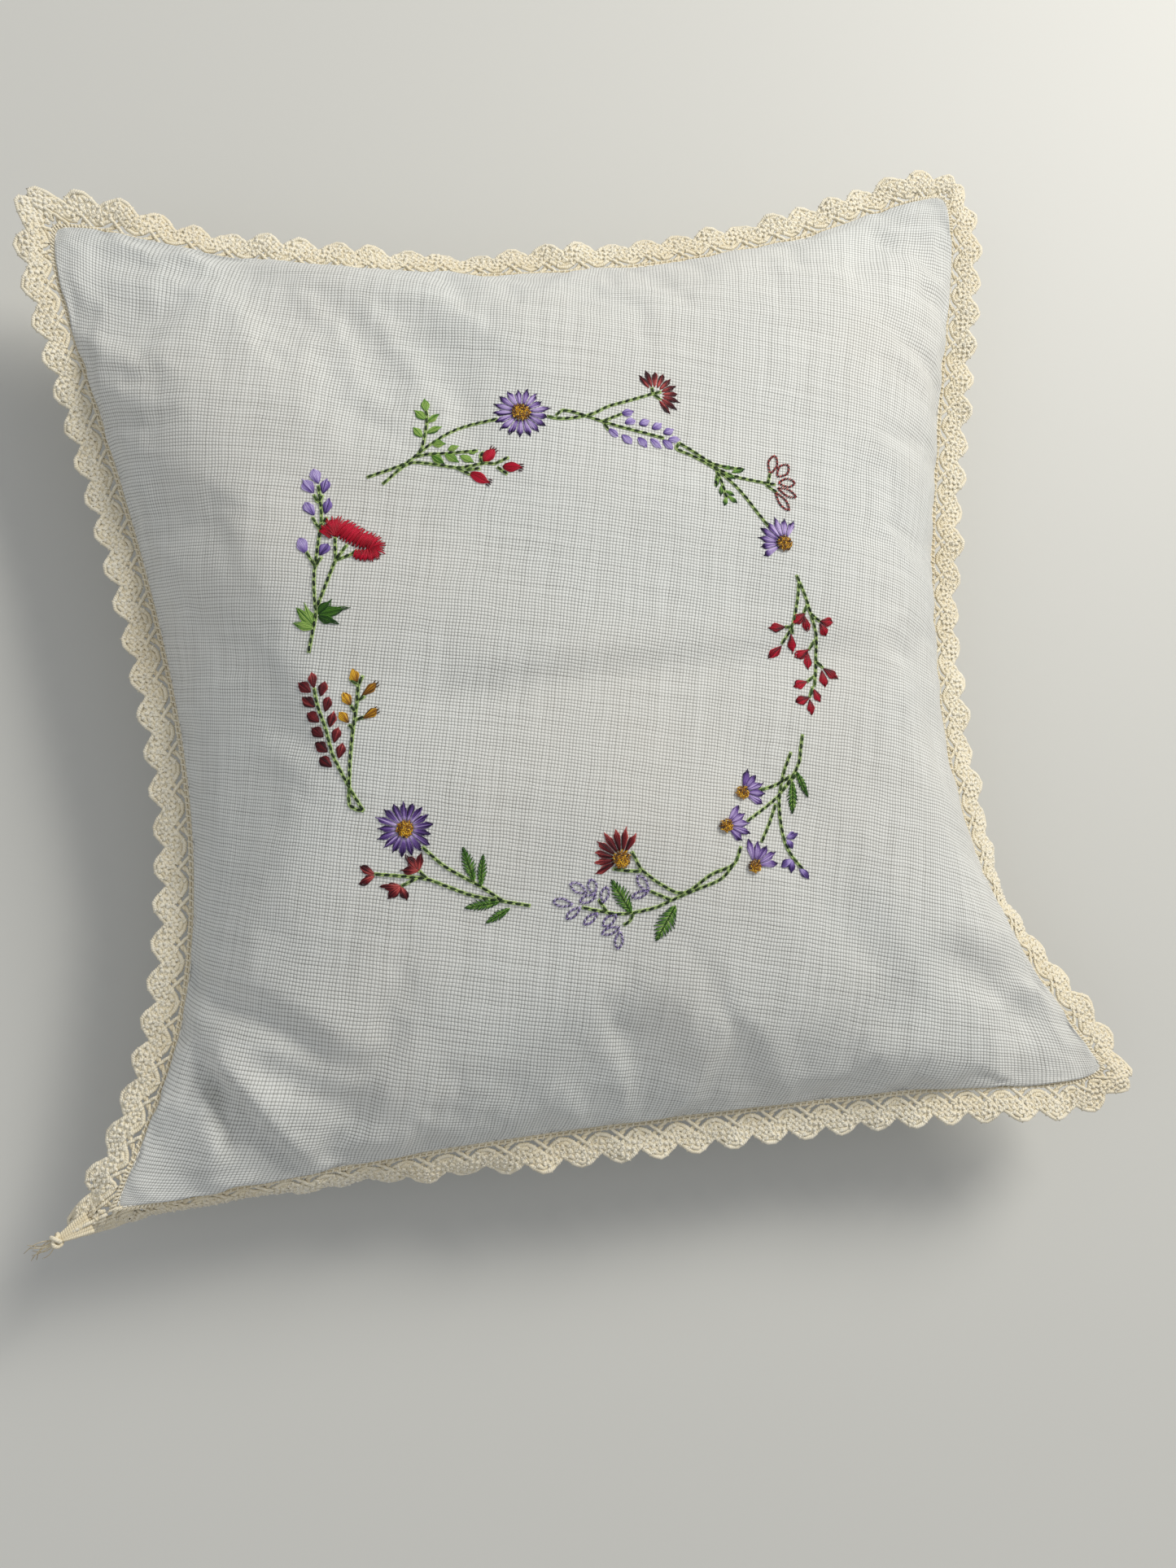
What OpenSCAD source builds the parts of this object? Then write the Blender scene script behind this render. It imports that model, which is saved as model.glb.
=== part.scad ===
// Square cushion with a pulled-in outline, an embroidered wreath and a scalloped lace edge.
// It lies on its back: +Z comes out of the embroidered face and z = 0 is the surface below it.

/* [Cushion] */
// Distance between two neighbouring seam corners of the stuffed cushion
side = 285; // [240:5:330]
// Height of the edge seam above the surface that the back rests on
seam_height = 36; // [32:1:40]
// Rise of the embroidered face above the edge seam
face_rise = 44; // [36:1:52]
// Drop that the back would have below the edge seam if nothing flattened it
back_drop = 46; // [44:1:54]
// Power of the bulge, where a smaller one is fuller near the seam
bulge_power = 0.55; // [0.5:0.01:0.62]

/* [Seam outline] */
// How far the right seam pulls in at mid height
pull_right = 30; // [0:1:36]
// How far the left seam pulls in at mid height
pull_left = 24; // [0:1:36]
// How far the top seam pulls in at its middle
pull_top = 21; // [0:1:36]
// How much the pull of the side seams leans towards the bottom
pull_skew = 0.6; // [0:0.1:0.7]

/* [Cover and insert] */
// Thickness of the cover's cotton cloth
cloth_thickness = 0.6; // [0.5:0.1:0.8]
// Thickness of the inner casing's cloth
casing_thickness = 0.5; // [0.4:0.1:0.6]
// Place of the lower back flap's free edge, above the middle of the back
lower_flap_edge = 24; // [10:1:40]
// Place of the upper back flap's free edge, above the middle of the back
upper_flap_edge = -36; // [-50:1:-20]

/* [Lace] */
// Width of lace that shows outside the seam
lace_width = 12; // [8:0.5:16]
// Width of lace held inside the seam
lace_sewn_in = 3; // [2:0.5:4]
// Thickness of the lace
lace_thickness = 0.8; // [0.6:0.1:1]
// Number of scallops on each side
scallops = 26; // [16:1:32]
// Depth of a scallop
scallop_depth = 4; // [2:0.5:6]

/* [Embroidery] */
// Width of a stem's stitch
stem_width = 0.7; // [0.5:0.1:1]
// Distance from one running stitch to the next
stitch_pitch = 2.8; // [2.4:0.1:3.6]
// Share of the pitch that each stitch covers
stitch_share = 0.8; // [0.6:0.05:0.85]
// Thickness of an embroidered patch
relief = 0.4; // [0.3:0.1:0.6]

/* [Hidden] */

half = side / 2;
seam_top = seam_height + lace_thickness / 2;
seam_bottom = seam_height - lace_thickness / 2;

// Clearance between two layers of cloth, and the wall thickness of a layer at the seam
layer_gap = 0.3;
wall_at_seam = cloth_thickness + 0.2;
flap_step = cloth_thickness + layer_gap;
casing_inset = 6;
casing_drop = 1.4;
fill_inset = casing_inset + 1.5;
fill_drop = casing_drop + casing_thickness + 0.7;
casing_floor = 2 * flap_step + 0.3;
fill_floor = casing_floor + casing_thickness + 0.6;

// Number of grid cells along one side of every cloth surface
cells = 20;
flap_cells = 12;

// Heights of the embroidery's layers above the face
stem_lift = 0.2;
crossing_lift = stem_lift + relief + 0.05;
patch_lift = crossing_lift + relief + 0.1;
centre_lift = patch_lift + relief + 0.1;

green = [0.30, 0.42, 0.20];
leaf_green = [0.42, 0.60, 0.24];
violet = [0.55, 0.47, 0.72];
lilac = [0.62, 0.56, 0.80];
gold = [0.66, 0.50, 0.14];
crimson = [0.72, 0.08, 0.22];
rust = [0.64, 0.27, 0.25];
cotton = [0.86, 0.85, 0.82];
lace_cream = [0.90, 0.84, 0.66];
inner_white = [0.92, 0.92, 0.90];

// Embroidery, in millimetres on the plan of the face, from its middle.
// A stem is a list of points, a leaf or bud is [base, tip, width],
// and a flower is [centre, inner radius, outer radius, first angle, last angle, petals].
aster_spray = [
    [[-58, 44.5], [-50, 46.5], [-47, 47.5], [-43.5, 50],
     [-40.5, 52], [-35, 55], [-29.5, 57], [-21, 58]],
    [[-54, 42], [-47, 47], [-42.5, 47], [-34, 44.5], [-30.5, 44.5], [-26, 45], [-23.5, 44.5]],
    [[-44.5, 49], [-41.5, 49.5], [-35.5, 49], [-27.5, 49]],
    [[-43.5, 50], [-42, 52.5], [-40, 60], [-40, 63.5]],
    [[-34, 44.5], [-30.5, 42]],
    [[-23.5, 44.5], [-19.5, 46]],
    [[-23, 43.5], [-20.5, 41]],
    [[-27, 45], [-27, 47.5], [-26, 48.5]],
    [[-31.5, 43.5], [-27.5, 43.5]]
];
aster_leaves = [
    [[-40, 63], [-40, 67], 2.4], [[-40.5, 60.5], [-43, 63.5], 2.4], [[-40, 59.5], [-36.5, 61.5], 1.9],
    [[-42, 55], [-44, 58.5], 2.2], [[-40.5, 56], [-36.5, 57.5], 2], [[-39.5, 52.5], [-36, 52], 2.4],
    [[-35.5, 50], [-32.5, 51], 1.7], [[-40, 49], [-37, 46], 2.4], [[-36.5, 49], [-33, 46], 2.3],
    [[-32.5, 48], [-29, 45.5], 2.1], [[-30, 48.5], [-27.5, 49], 1.3]
];
aster_buds = [
    [[-26.5, 45.5], [-23, 49], 3.1], [[-21.5, 43.5], [-16.5, 42.5], 2.9],
    [[-30.5, 42.5], [-25.5, 39], 2.9]
];
aster_flower = [[-14.4, 59.2], 2.7, 7.5, 5, 344, 17];

cockscomb_spray = [
    [[-71, 44], [-71, 35], [-72, 30], [-73, 25.5], [-74.5, 18.5],
     [-75, 11.5], [-75, 8], [-76.5, 3], [-78, -2]],
    [[-68.5, 22], [-71, 17], [-74.5, 10]],
    [[-68, 28.5], [-68.5, 22]],
    [[-65, 26], [-68.5, 22]],
    [[-62.5, 24], [-64.5, 23], [-68.5, 22]],
    [[-73.5, 35], [-72, 31.5]],
    [[-69.5, 34.5], [-72, 31.5]],
    [[-76, 25.5], [-74, 21]],
    [[-72, 23.5], [-74, 21]],
    [[-72.5, 41.5], [-71.5, 39], [-70, 41]]
];
cockscomb_leaf_list = [
    [[-76, 5], [-80, 10.5], 2.7], [[-76, 5.5], [-77.5, 10.5], 2.5], [[-76, 4.5], [-81, 6.5], 2.7],
    [[-74.5, 8], [-71, 11], 2.7], [[-74.5, 8], [-67.5, 8.5], 2.9], [[-74.5, 7.5], [-70, 5], 2.7]
];
cockscomb_line = [
    [-70.8, 29.3], [-69.5, 31], [-67, 31.5], [-65, 30], [-62.5, 28], [-60, 26.5], [-57.7, 25.2],
    [-57.3, 23.4], [-59.5, 22.2], [-63, 23]
];
cockscomb_width = 4.5;
lilac_buds = [
    [[-71, 44.5], [-72, 49], 3], [[-72.5, 42], [-75, 46], 3.4], [[-73, 35.5], [-75, 39.5], 2.9],
    [[-76, 25], [-77.5, 29.5], 3.1], [[-70, 41.5], [-68.5, 45.5], 2.7],
    [[-70, 35.5], [-68.5, 39.5], 2.5], [[-72.5, 24], [-70, 27], 2.9]
];

bud_spray = [
    [[-77.5, -11.5], [-77, -16.5], [-75.5, -23], [-74.5, -29.5],
     [-73.5, -32.5], [-71, -39], [-68, -45.5]],
    [[-66, -12.5], [-67, -18], [-68.5, -24], [-70, -31.5],
     [-71, -38.5], [-71.5, -43], [-70.5, -44.5], [-68, -45.5]],
    [[-64.5, -15.5], [-66.5, -16.5]],
    [[-65, -21], [-67.5, -21.5]],
    [[-68.5, -17.5], [-67.5, -19.5]],
    [[-69.5, -22.5], [-68.5, -24]],
    [[-64.5, -10], [-66, -12.5]],
    [[-68, -10.5], [-66, -12.5]]
];
// Two columns of red buds beside the stem: first base, step to the next, count, way and width
red_left = [[-78.5, -12.5], [0.7, -4.1], 6, [-2.8, 3], 2.9];
red_right = [[-76, -14], [0.75, -4.25], 5, [1.5, 3.8], 2.5];
red_tip_bud = [[-77.5, -11.5], [-77.7, -7.3], 2.3];
yellow_buds = [
    [[-66.5, -12], [-67, -8], 2.7], [[-68.5, -17.5], [-70, -14], 2.6],
    [[-69.5, -22], [-71.5, -19], 2.4], [[-65.5, -15.5], [-61, -12.5], 2.3],
    [[-66, -21.5], [-61.5, -19.5], 2.4]
];

lower_aster_spray = [
    [[-54, -56.5], [-49.5, -61.5], [-45, -65], [-40, -68.5], [-34.5, -73]],
    [[-67, -62], [-59.5, -63.5], [-53.5, -65], [-48.5, -67.5],
     [-42.5, -70.5], [-34.5, -73], [-27.5, -75]],
    [[-55.5, -62.5], [-53.5, -65]],
    [[-60.5, -66], [-56.5, -64.5]]
];
lower_aster_leaf_list = [
    [[-41.5, -67], [-43.5, -58], 3.1], [[-40, -68.5], [-38.5, -60.5], 2.4],
    [[-35.5, -73], [-44.5, -73.5], 2.8], [[-33, -75], [-39.5, -78], 2.3]
];
lower_rust_buds = [
    [[-67.6, -61.5], [-70.5, -59.5], 2.1], [[-67.8, -62.8], [-71, -64], 2.1],
    [[-56.3, -62.4], [-60, -62], 2.1], [[-56.4, -61.3], [-58, -58.5], 2.3], [[-55.3, -61.7], [-54.5, -58], 1.8],
    [[-61.3, -65.9], [-65.5, -65.5], 2.1], [[-61.1, -66.5], [-64, -68.5], 2.4],
    [[-60.3, -66.8], [-59.5, -69.5], 2.1]
];
lower_aster_flower = [[-57.9, -51.4], 2.3, 7.2, 3, 342, 17];

rust_daisy_spray = [
    [[2.5, -69], [7.5, -73.5], [13.5, -76.5], [21.5, -72.5], [28, -70.5], [30.5, -66]],
    [[28, -70.5], [24, -74], [17, -76], [10, -78], [5, -79.5], [-3.5, -80], [-9.5, -78.5], [-14, -77]],
    [[-0.5, -80], [-1.5, -82], [-3.5, -83]],
    [[-7.5, -79], [-9.5, -75.5]],
    [[4.5, -75], [10, -78]],
    [[0.5, -64], [1.5, -66.5], [2.5, -69]],
    [[-5, -68], [-1, -69], [2.5, -69.5]]
];
rust_daisy_leaf_list = [[[-1, -80], [-5.5, -71], 4], [[11, -79.5], [5, -88], 4.7]];
lilac_loops = [
    [[-16.5, -76], [-21.5, -74.5], 2.6], [[-12.5, -73.5], [-16.5, -70.5], 2.8],
    [[-10.5, -74], [-11, -70], 2.8], [[-8.5, -76.5], [-7, -72.5], 2.6],
    [[-10, -74.5], [-14.5, -75.5], 2.4], [[-14.5, -77], [-18.5, -79.5], 2.3],
    [[-10, -79], [-14, -81.5], 2.3], [[-5, -80], [-9, -82.5], 2.7], [[-4.5, -83.5], [-9.5, -84.5], 2.3],
    [[-4.5, -84.5], [-5.5, -89], 2.6], [[4, -75], [1.5, -70.5], 2.7], [[4, -75], [-0.5, -76], 2.1]
];
rust_daisy_flower = [[-2.4, -65.7], 2.5, 7.7, 54, 203, 8];

three_aster_spray = [
    [[52, -37.5], [51, -41], [49.5, -46], [44, -52.5], [40, -55.5], [33, -59.5]],
    [[48, -42], [45, -48], [43, -55.5], [43, -63.5], [44.5, -69], [48, -74]],
    [[37.5, -51.5], [42.5, -50.5], [47, -48.5]],
    [[42, -55.5], [39.5, -60.5], [36.5, -65.5]],
    [[44, -52.5], [49, -48]]
];
three_aster_leaf_list = [[[47.5, -50], [46.5, -58.5], 2.8], [[49, -47.5], [51.5, -54.5], 2.1]];
three_aster_bud_list = [
    [[44, -65], [47.5, -64], 2.1], [[44, -65.5], [45.5, -68], 2], [[45, -71], [41.5, -72.5], 2.3],
    [[45, -71], [44.5, -74.5], 1.9], [[47, -73.5], [49.5, -76.5], 2]
];
three_aster_flowers = [
    [[32.6, -51.6], 1.9, 6.6, -33, 68, 5],
    [[26.9, -60], 1.9, 6.5, -48, 49, 5],
    [[33.8, -71.6], 1.9, 6.9, 1, 98, 5]
];

berry_spray = [
    [[56.5, 7], [58, 2], [59, -3.5], [60, -10.5], [59, -18], [57.5, -24.5]],
    [[57, 5], [55.5, -1], [53, -7.5], [49.5, -12]],
    [[53, -7.5], [51, -7.5]],
    [[53, -7.5], [53, -9.5]],
    [[58.5, -1.5], [57, -4]],
    [[59, -4], [61.5, -6.5]],
    [[59.5, -11.5], [57.5, -14]],
    [[59, -17], [61, -19.5]],
    [[58, -21.5], [55.5, -23]],
    [[57, -24.5], [55.5, -27.5]]
];
berries = [
    [[51, -7.5], [46, -7.5], 2.7], [[49.5, -12.5], [45.5, -15.5], 2.6],
    [[52.5, -9.5], [52.5, -14.5], 2.5], [[57.5, -4], [53.5, -6.5], 3], [[57, -4.5], [57.5, -9], 2.4],
    [[61.5, -6.5], [65.5, -7], 2.7], [[61.5, -7], [63, -10.5], 2.6], [[57.5, -14], [53, -16], 2.8],
    [[57, -14.5], [56.5, -19.5], 2.4], [[61, -19.5], [64.5, -22.5], 2.6],
    [[60.5, -20], [60.5, -24.5], 2.5], [[55.5, -23], [51.5, -24], 2.8], [[57, -25], [58.5, -29], 2.2],
    [[55.5, -27.5], [51.5, -28.5], 2.8], [[55.5, -28], [55.5, -32], 2.2]
];

right_aster_spray = [
    [[28.5, 47.5], [32.5, 44.5], [37, 41], [42, 39.5], [46, 39]],
    [[28.5, 47.5], [27.5, 45.5], [31.5, 43.5], [38, 39], [43.5, 33], [48, 25.5], [50.5, 21.5]],
    [[37, 40], [42.5, 37], [50, 35], [55, 34]],
    [[52.5, 34], [54, 37.5]],
    [[52, 34], [55, 31.5]],
    [[38, 38.5], [39, 35], [39.5, 30]],
    [[38, 37.5], [37, 34]]
];
right_aster_leaf_list = [
    [[42.5, 38], [46.5, 39], 1.4], [[40, 38], [43, 36], 1.2], [[38.5, 34], [38, 31], 1.1],
    [[39.5, 32.5], [42, 31], 1.2], [[40, 31], [42.5, 28.5], 1.3], [[39.5, 30.5], [38.5, 28], 1.3],
    [[38, 37], [37, 33.5], 1.2], [[40, 39.5], [43, 39.5], 1.2]
];
rust_loops = [
    [[54, 37.5], [56.5, 43], 3.2], [[56, 36.5], [60, 40], 3.5], [[56, 34.5], [61, 34.5], 3.1],
    [[55.5, 33], [60.5, 30], 2.6], [[54.5, 31.5], [57.5, 26], 2.8]
];
right_aster_flower = [[54.3, 16.2], 2.3, 7.5, 59, 206, 8];

lavender_spray = [
    [[-7.5, 57.5], [-4.5, 56.5], [0.5, 56.5], [5.5, 57.5], [10, 59.5], [16, 61], [23.5, 63]],
    [[-5, 57.5], [-2.5, 59], [3, 57], [7.5, 55], [12.5, 53], [18.5, 51], [24.5, 49]],
    [[8, 55], [13.5, 57]],
    [[8, 54.5], [9, 52]],
    [[23.5, 63], [23.5, 65]],
    [[23.5, 63], [26, 63.5]],
    [[23.5, 63], [25.5, 61]]
];
lavender_bud_list = [
    [[13.5, 57], [17, 57.5], 2.3], [[14, 54], [17, 55], 2.2], [[18, 53.5], [21, 54.5], 2.3],
    [[21.5, 52], [24.5, 53.5], 2.2], [[24.5, 50.5], [27.5, 51.5], 2.2], [[25.5, 48.5], [29, 48.5], 2],
    [[9, 52.5], [11.5, 50], 2.1], [[12.5, 50.5], [15, 47.5], 2.3], [[17, 49.5], [19, 46.5], 2.3],
    [[20.5, 49], [23, 46], 2.2], [[24, 48.5], [26.5, 45.5], 2.2]
];
lavender_daisy_flower = [[23.9, 62.8], 1.8, 7.2, -61, 120, 10];

// Thread inside the edge seam: its width, its distance from the seam, its height above it,
// its thickness, and its share of each side
thread_width = 0.8;
thread_inset = 1.6;
thread_lift = 0.2;
thread_relief = 0.4;
row_end = 0.9;

// Share of each side that the lace covers, and its knotted end: width, length and spread
// of the strands, and the knot's place along them and its size
lace_end = 0.996;
tail_width = 1.2;
tail_reach = 13;
tail_spread = 14;
knot_place = 6;
knot_width = 3.1;

// Hem stitches: distance from the flap's free edge, height above the cloth, thickness,
// and half the length of the row
hem_depth = 5;
hem_clearance = 0.05;
hem_relief = 0.2;
hem_reach = 0.5 * half;

// Place in plan of cloth point (u, v), each from -1 to 1, on a layer whose corners are at reach.
// The middle of each edge is pulled in, most strongly towards the bottom on the two sides.
function plan_x(u, v, reach) =
    reach * u - (u > 0 ? pull_right : pull_left) * pow(u, 3) * (1 - v * v) * (1 - pull_skew * v);
function plan_y(u, v, reach) = reach * v - (v > 0 ? pull_top : 0) * pow(v, 3) * (1 - u * u);

// Height of the bulge over cloth point (u, v), from 0 at the seam to 1 in the middle.
function bulge(u, v) = pow(max(0, (1 - u * u) * (1 - v * v)), bulge_power);

// Cloth point under plan point (x, y), found by repeated correction.
function cloth_at(x, y, u, v, steps) =
    steps == 0 ? [u, v]
    : cloth_at(x, y, u + (x - plan_x(u, v, half)) / half, v + (y - plan_y(u, v, half)) / half, steps - 1);

// Height of the face, and of the back, at plan point (x, y).
function face_z(x, y) =
    let (p = cloth_at(x, y, x / half, y / half, 8)) seam_top + face_rise * bulge(p[0], p[1]);
function back_z(x, y) =
    let (p = cloth_at(x, y, x / half, y / half, 8)) max(0, seam_bottom - back_drop * bulge(p[0], p[1]));

// Grid steps that crowd towards the seam: across the whole cloth, and over part of it.
function whole_steps(count) = [for (i = [0:count]) sin(90 * (2 * i / count - 1))];
function steps_from_seam(count, seam, edge) =
    [for (i = [0:count]) seam + (edge - seam) * (1 - cos(90 * i / count))];
function turned(list) = [for (i = [len(list) - 1:-1:0]) list[i]];

// Grid of points on one layer; rise is negative for the back, and floor_z is where it flattens.
function layer_points(us, vs, reach, base, rise, floor_z) = [
    for (v = vs)
        for (u = us)
            [plan_x(u, v, reach), plan_y(u, v, reach), max(floor_z, base + rise * bulge(u, v))]
];

// Closed solid between an upper and a lower grid of the same layout.
module between(us, vs, upper, lower) {
    across = len(us);
    last_row = len(vs) - 2;
    last_column = across - 2;
    shift = len(upper);
    function at(i, j) = j * across + i;
    // The rim comes first, then the two surfaces
    faces = concat(
        [for (i = [0:last_column]) [at(i, 0), at(i + 1, 0), shift + at(i + 1, 0)]],
        [for (i = [0:last_column]) [at(i, 0), shift + at(i + 1, 0), shift + at(i, 0)]],
        [for (i = [0:last_column]) let (j = last_row + 1)
            [at(i + 1, j), at(i, j), shift + at(i, j)]],
        [for (i = [0:last_column]) let (j = last_row + 1)
            [at(i + 1, j), shift + at(i, j), shift + at(i + 1, j)]],
        [for (j = [0:last_row]) [at(0, j + 1), at(0, j), shift + at(0, j)]],
        [for (j = [0:last_row]) [at(0, j + 1), shift + at(0, j), shift + at(0, j + 1)]],
        [for (j = [0:last_row]) let (i = last_column + 1)
            [at(i, j), at(i, j + 1), shift + at(i, j + 1)]],
        [for (j = [0:last_row]) let (i = last_column + 1)
            [at(i, j), shift + at(i, j + 1), shift + at(i, j)]],
        [for (j = [0:last_row]) for (i = [0:last_column]) [at(i, j), at(i, j + 1), at(i + 1, j + 1)]],
        [for (j = [0:last_row]) for (i = [0:last_column]) [at(i, j), at(i + 1, j + 1), at(i + 1, j)]],
        [for (j = [0:last_row]) for (i = [0:last_column])
            [shift + at(i, j), shift + at(i + 1, j + 1), shift + at(i, j + 1)]],
        [for (j = [0:last_row]) for (i = [0:last_column])
            [shift + at(i, j), shift + at(i + 1, j), shift + at(i + 1, j + 1)]]
    );
    polyhedron(points = concat(upper, lower), faces = faces, convexity = 4);
}

module fibre_fill() {
    steps = whole_steps(cells);
    reach = half - fill_inset;
    color(inner_white)
        between(steps, steps,
            layer_points(steps, steps, reach, seam_height + 0.5, face_rise - fill_drop, 0),
            layer_points(steps, steps, reach, seam_height - 0.5, -back_drop, fill_floor));
}

module insert_casing_front() {
    steps = whole_steps(cells);
    reach = half - casing_inset;
    color(inner_white)
        between(steps, steps,
            layer_points(steps, steps, reach, seam_top, face_rise - casing_drop, 0),
            layer_points(steps, steps, reach - casing_thickness - 0.2, seam_top,
                face_rise - casing_drop - casing_thickness, 0));
}

module insert_casing_back() {
    steps = whole_steps(cells);
    reach = half - casing_inset;
    color(inner_white)
        between(steps, steps,
            layer_points(steps, steps, reach - casing_thickness - 0.2, seam_bottom,
                -back_drop + casing_thickness, casing_floor + casing_thickness),
            layer_points(steps, steps, reach, seam_bottom, -back_drop, casing_floor));
}

module front_panel() {
    steps = whole_steps(cells);
    color(cotton)
        between(steps, steps,
            layer_points(steps, steps, half, seam_top, face_rise, 0),
            layer_points(steps, steps, half - wall_at_seam, seam_top, face_rise - cloth_thickness, 0));
}

// One back flap, from the seam to its free edge, lifted by step off the surface below.
module back_flap(vs, step) {
    us = whole_steps(cells);
    color(cotton)
        between(us, vs,
            layer_points(us, vs, half - step - wall_at_seam, seam_bottom,
                -back_drop + step + cloth_thickness, step + cloth_thickness),
            layer_points(us, vs, half - step, seam_bottom, -back_drop + step, step));
}

module back_panel_lower() {
    back_flap(steps_from_seam(flap_cells, -1, lower_flap_edge / half), 0);
}

module back_panel_upper() {
    back_flap(turned(steps_from_seam(flap_cells, 1, upper_flap_edge / half)), flap_step);
}

// Row of straight stitches on a flap's inner side, along a line at height y in plan.
module hem_row(y, lift, thread_colour) {
    count = 2 * floor(hem_reach / (2 * stitch_pitch));
    color(thread_colour)
        for (i = [-count / 2:count / 2])
            translate([i * stitch_pitch * 2, y, back_z(i * stitch_pitch * 2, y) + lift])
                translate([-stitch_pitch * stitch_share, -stem_width / 2, 0])
                    cube([2 * stitch_pitch * stitch_share, stem_width, hem_relief]);
}

module hem_thread_lower() {
    hem_row(lower_flap_edge - hem_depth, cloth_thickness + hem_clearance, cotton);
}

module hem_thread_upper() {
    hem_row(upper_flap_edge + hem_depth, flap_step + cloth_thickness + hem_clearance, cotton);
}

// Outline point of side number turn (0 top, 1 left, 2 bottom, 3 right) at a, from -1 to 1,
// moved outwards by offset so that neighbouring sides meet in a mitre.
function seam_point(turn, a, offset) =
    let (u = turn == 0 || turn == 2 ? a : (turn == 1 ? -1 : 1))
    let (v = turn == 1 || turn == 3 ? a : (turn == 2 ? -1 : 1))
    [plan_x(u, v, half) + offset * u, plan_y(u, v, half) + offset * v];

// One row of thread just inside the seam, above the part of the lace that is sewn in.
module seam_row(turn) {
    places = [for (i = [-cells:cells]) row_end * i / cells];
    polygon(concat(
        [for (a = places) seam_point(turn, a, -thread_inset)],
        [for (a = turned(places)) seam_point(turn, a, -thread_inset - thread_width)]
    ));
}

module edge_seam_thread() {
    color(cotton)
        translate([0, 0, seam_top + thread_lift])
            for (turn = [0:3])
                linear_extrude(thread_relief) seam_row(turn);
}

// Offset of the lace's outer edge at a: one rounded point for each scallop.
function scallop_offset(a) =
    let (turns = scallops * (a + 1) / 2 + 0.5)
    lace_width - scallop_depth * pow(abs(2 * (turns - floor(turns)) - 1), 1.5);

module lace(turn) {
    places = [for (i = [0:scallops * 6]) lace_end * (2 * i / (scallops * 6) - 1)];
    color(lace_cream)
        translate([0, 0, seam_bottom])
            linear_extrude(lace_thickness)
                polygon(concat(
                    [for (a = places) seam_point(turn, a, scallop_offset(a))],
                    [for (i = [cells:-1:-cells]) seam_point(turn, lace_end * i / cells, -lace_sewn_in)]
                ));
}

module lace_top() {
    lace(0);
}

module lace_left() {
    lace(1);
}

module lace_bottom() {
    lace(2);
}

module lace_right() {
    lace(3);
}

// Knotted end of the lace, lying on the lace at the lower left corner.
module lace_tail() {
    color(lace_cream)
        translate([-half - 1, -half - 1, seam_top + 1.5 * tail_width])
            rotate([0, 0, 225]) {
                for (turn = [-tail_spread, 0, tail_spread])
                    rotate([0, 90, turn]) cylinder(h = tail_reach, d = tail_width, $fn = 24);
                translate([knot_place, 0, 0]) sphere(d = knot_width, $fn = 24);
            }
}

// Slope frame of the face at plan point (x, y): a child drawn flat on z = 0, with its length
// along +X, lands on the face, turned to angle and lifted.
module on_face(x, y, angle, lift) {
    slope_x = (face_z(x + 1, y) - face_z(x - 1, y)) / 2;
    slope_y = (face_z(x, y + 1) - face_z(x, y - 1)) / 2;
    out = [-slope_x, -slope_y, 1] / norm([slope_x, slope_y, 1]);
    rise = slope_x * cos(angle) + slope_y * sin(angle);
    along = [cos(angle), sin(angle), rise] / norm([1, rise]);
    across = cross(out, along);
    place = [x, y, face_z(x, y)] + lift * out;
    multmatrix([
        [along[0], across[0], out[0], place[0]],
        [along[1], across[1], out[1], place[1]],
        [along[2], across[2], out[2], place[2]]
    ])
        children();
}

// Smooth curve through points a, b, c, d, between b and c, at share t.
function curve_point(a, b, c, d, t) =
    0.5 * (2 * b + (c - a) * t + (2 * a - 5 * b + 4 * c - d) * t * t + (3 * b - a - 3 * c + d) * t * t * t);
function curve_part(points, i, t) =
    let (last = len(points) - 1)
    let (before = i > 0 ? points[i - 1] : 2 * points[0] - points[1])
    let (after = i + 2 <= last ? points[i + 2] : 2 * points[last] - points[last - 1])
    curve_point(before, points[i], points[i + 1], after, t);

// Running stitches along a smooth curve through the points.
module running_stitch(points, lift) {
    for (i = [0:len(points) - 2]) {
        count = max(1, round(norm(points[i + 1] - points[i]) / stitch_pitch));
        for (k = [0:count - 1]) {
            from = curve_part(points, i, (k + (1 - stitch_share) / 2) / count);
            to = curve_part(points, i, (k + (1 + stitch_share) / 2) / count);
            middle = (from + to) / 2;
            reach = norm(to - from);
            on_face(middle[0], middle[1], atan2(to[1] - from[1], to[0] - from[0]), lift)
                translate([-reach / 2, -stem_width / 2, 0]) cube([reach, stem_width, relief]);
        }
    }
}

module stems(spray) {
    color(green)
        for (i = [0:len(spray) - 1])
            running_stitch(spray[i], i % 2 == 0 ? stem_lift : crossing_lift);
}

// Flat stitched shape from base to tip, widest past its middle.
module leaf_outline(reach, width) {
    polygon([
        [0, 0], [0.3 * reach, 0.42 * width], [0.65 * reach, 0.5 * width], [reach, 0],
        [0.65 * reach, -0.5 * width], [0.3 * reach, -0.42 * width]
    ]);
}

module leaves(list, leaf_colour) {
    color(leaf_colour)
        for (leaf = list) {
            way = leaf[1] - leaf[0];
            on_face(leaf[0][0], leaf[0][1], atan2(way[1], way[0]), patch_lift)
                linear_extrude(relief) leaf_outline(norm(way), leaf[2]);
        }
}

// Outlined petals: each is the edge of a leaf shape.
module loops(list, loop_colour) {
    color(loop_colour)
        for (leaf = list) {
            way = leaf[1] - leaf[0];
            reach = norm(way);
            on_face(leaf[0][0], leaf[0][1], atan2(way[1], way[0]), patch_lift)
                linear_extrude(relief)
                    difference() {
                        leaf_outline(reach, leaf[2]);
                        translate([0.22 * reach, 0]) leaf_outline(0.56 * reach, 0.5 * leaf[2]);
                    }
        }
}

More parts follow.
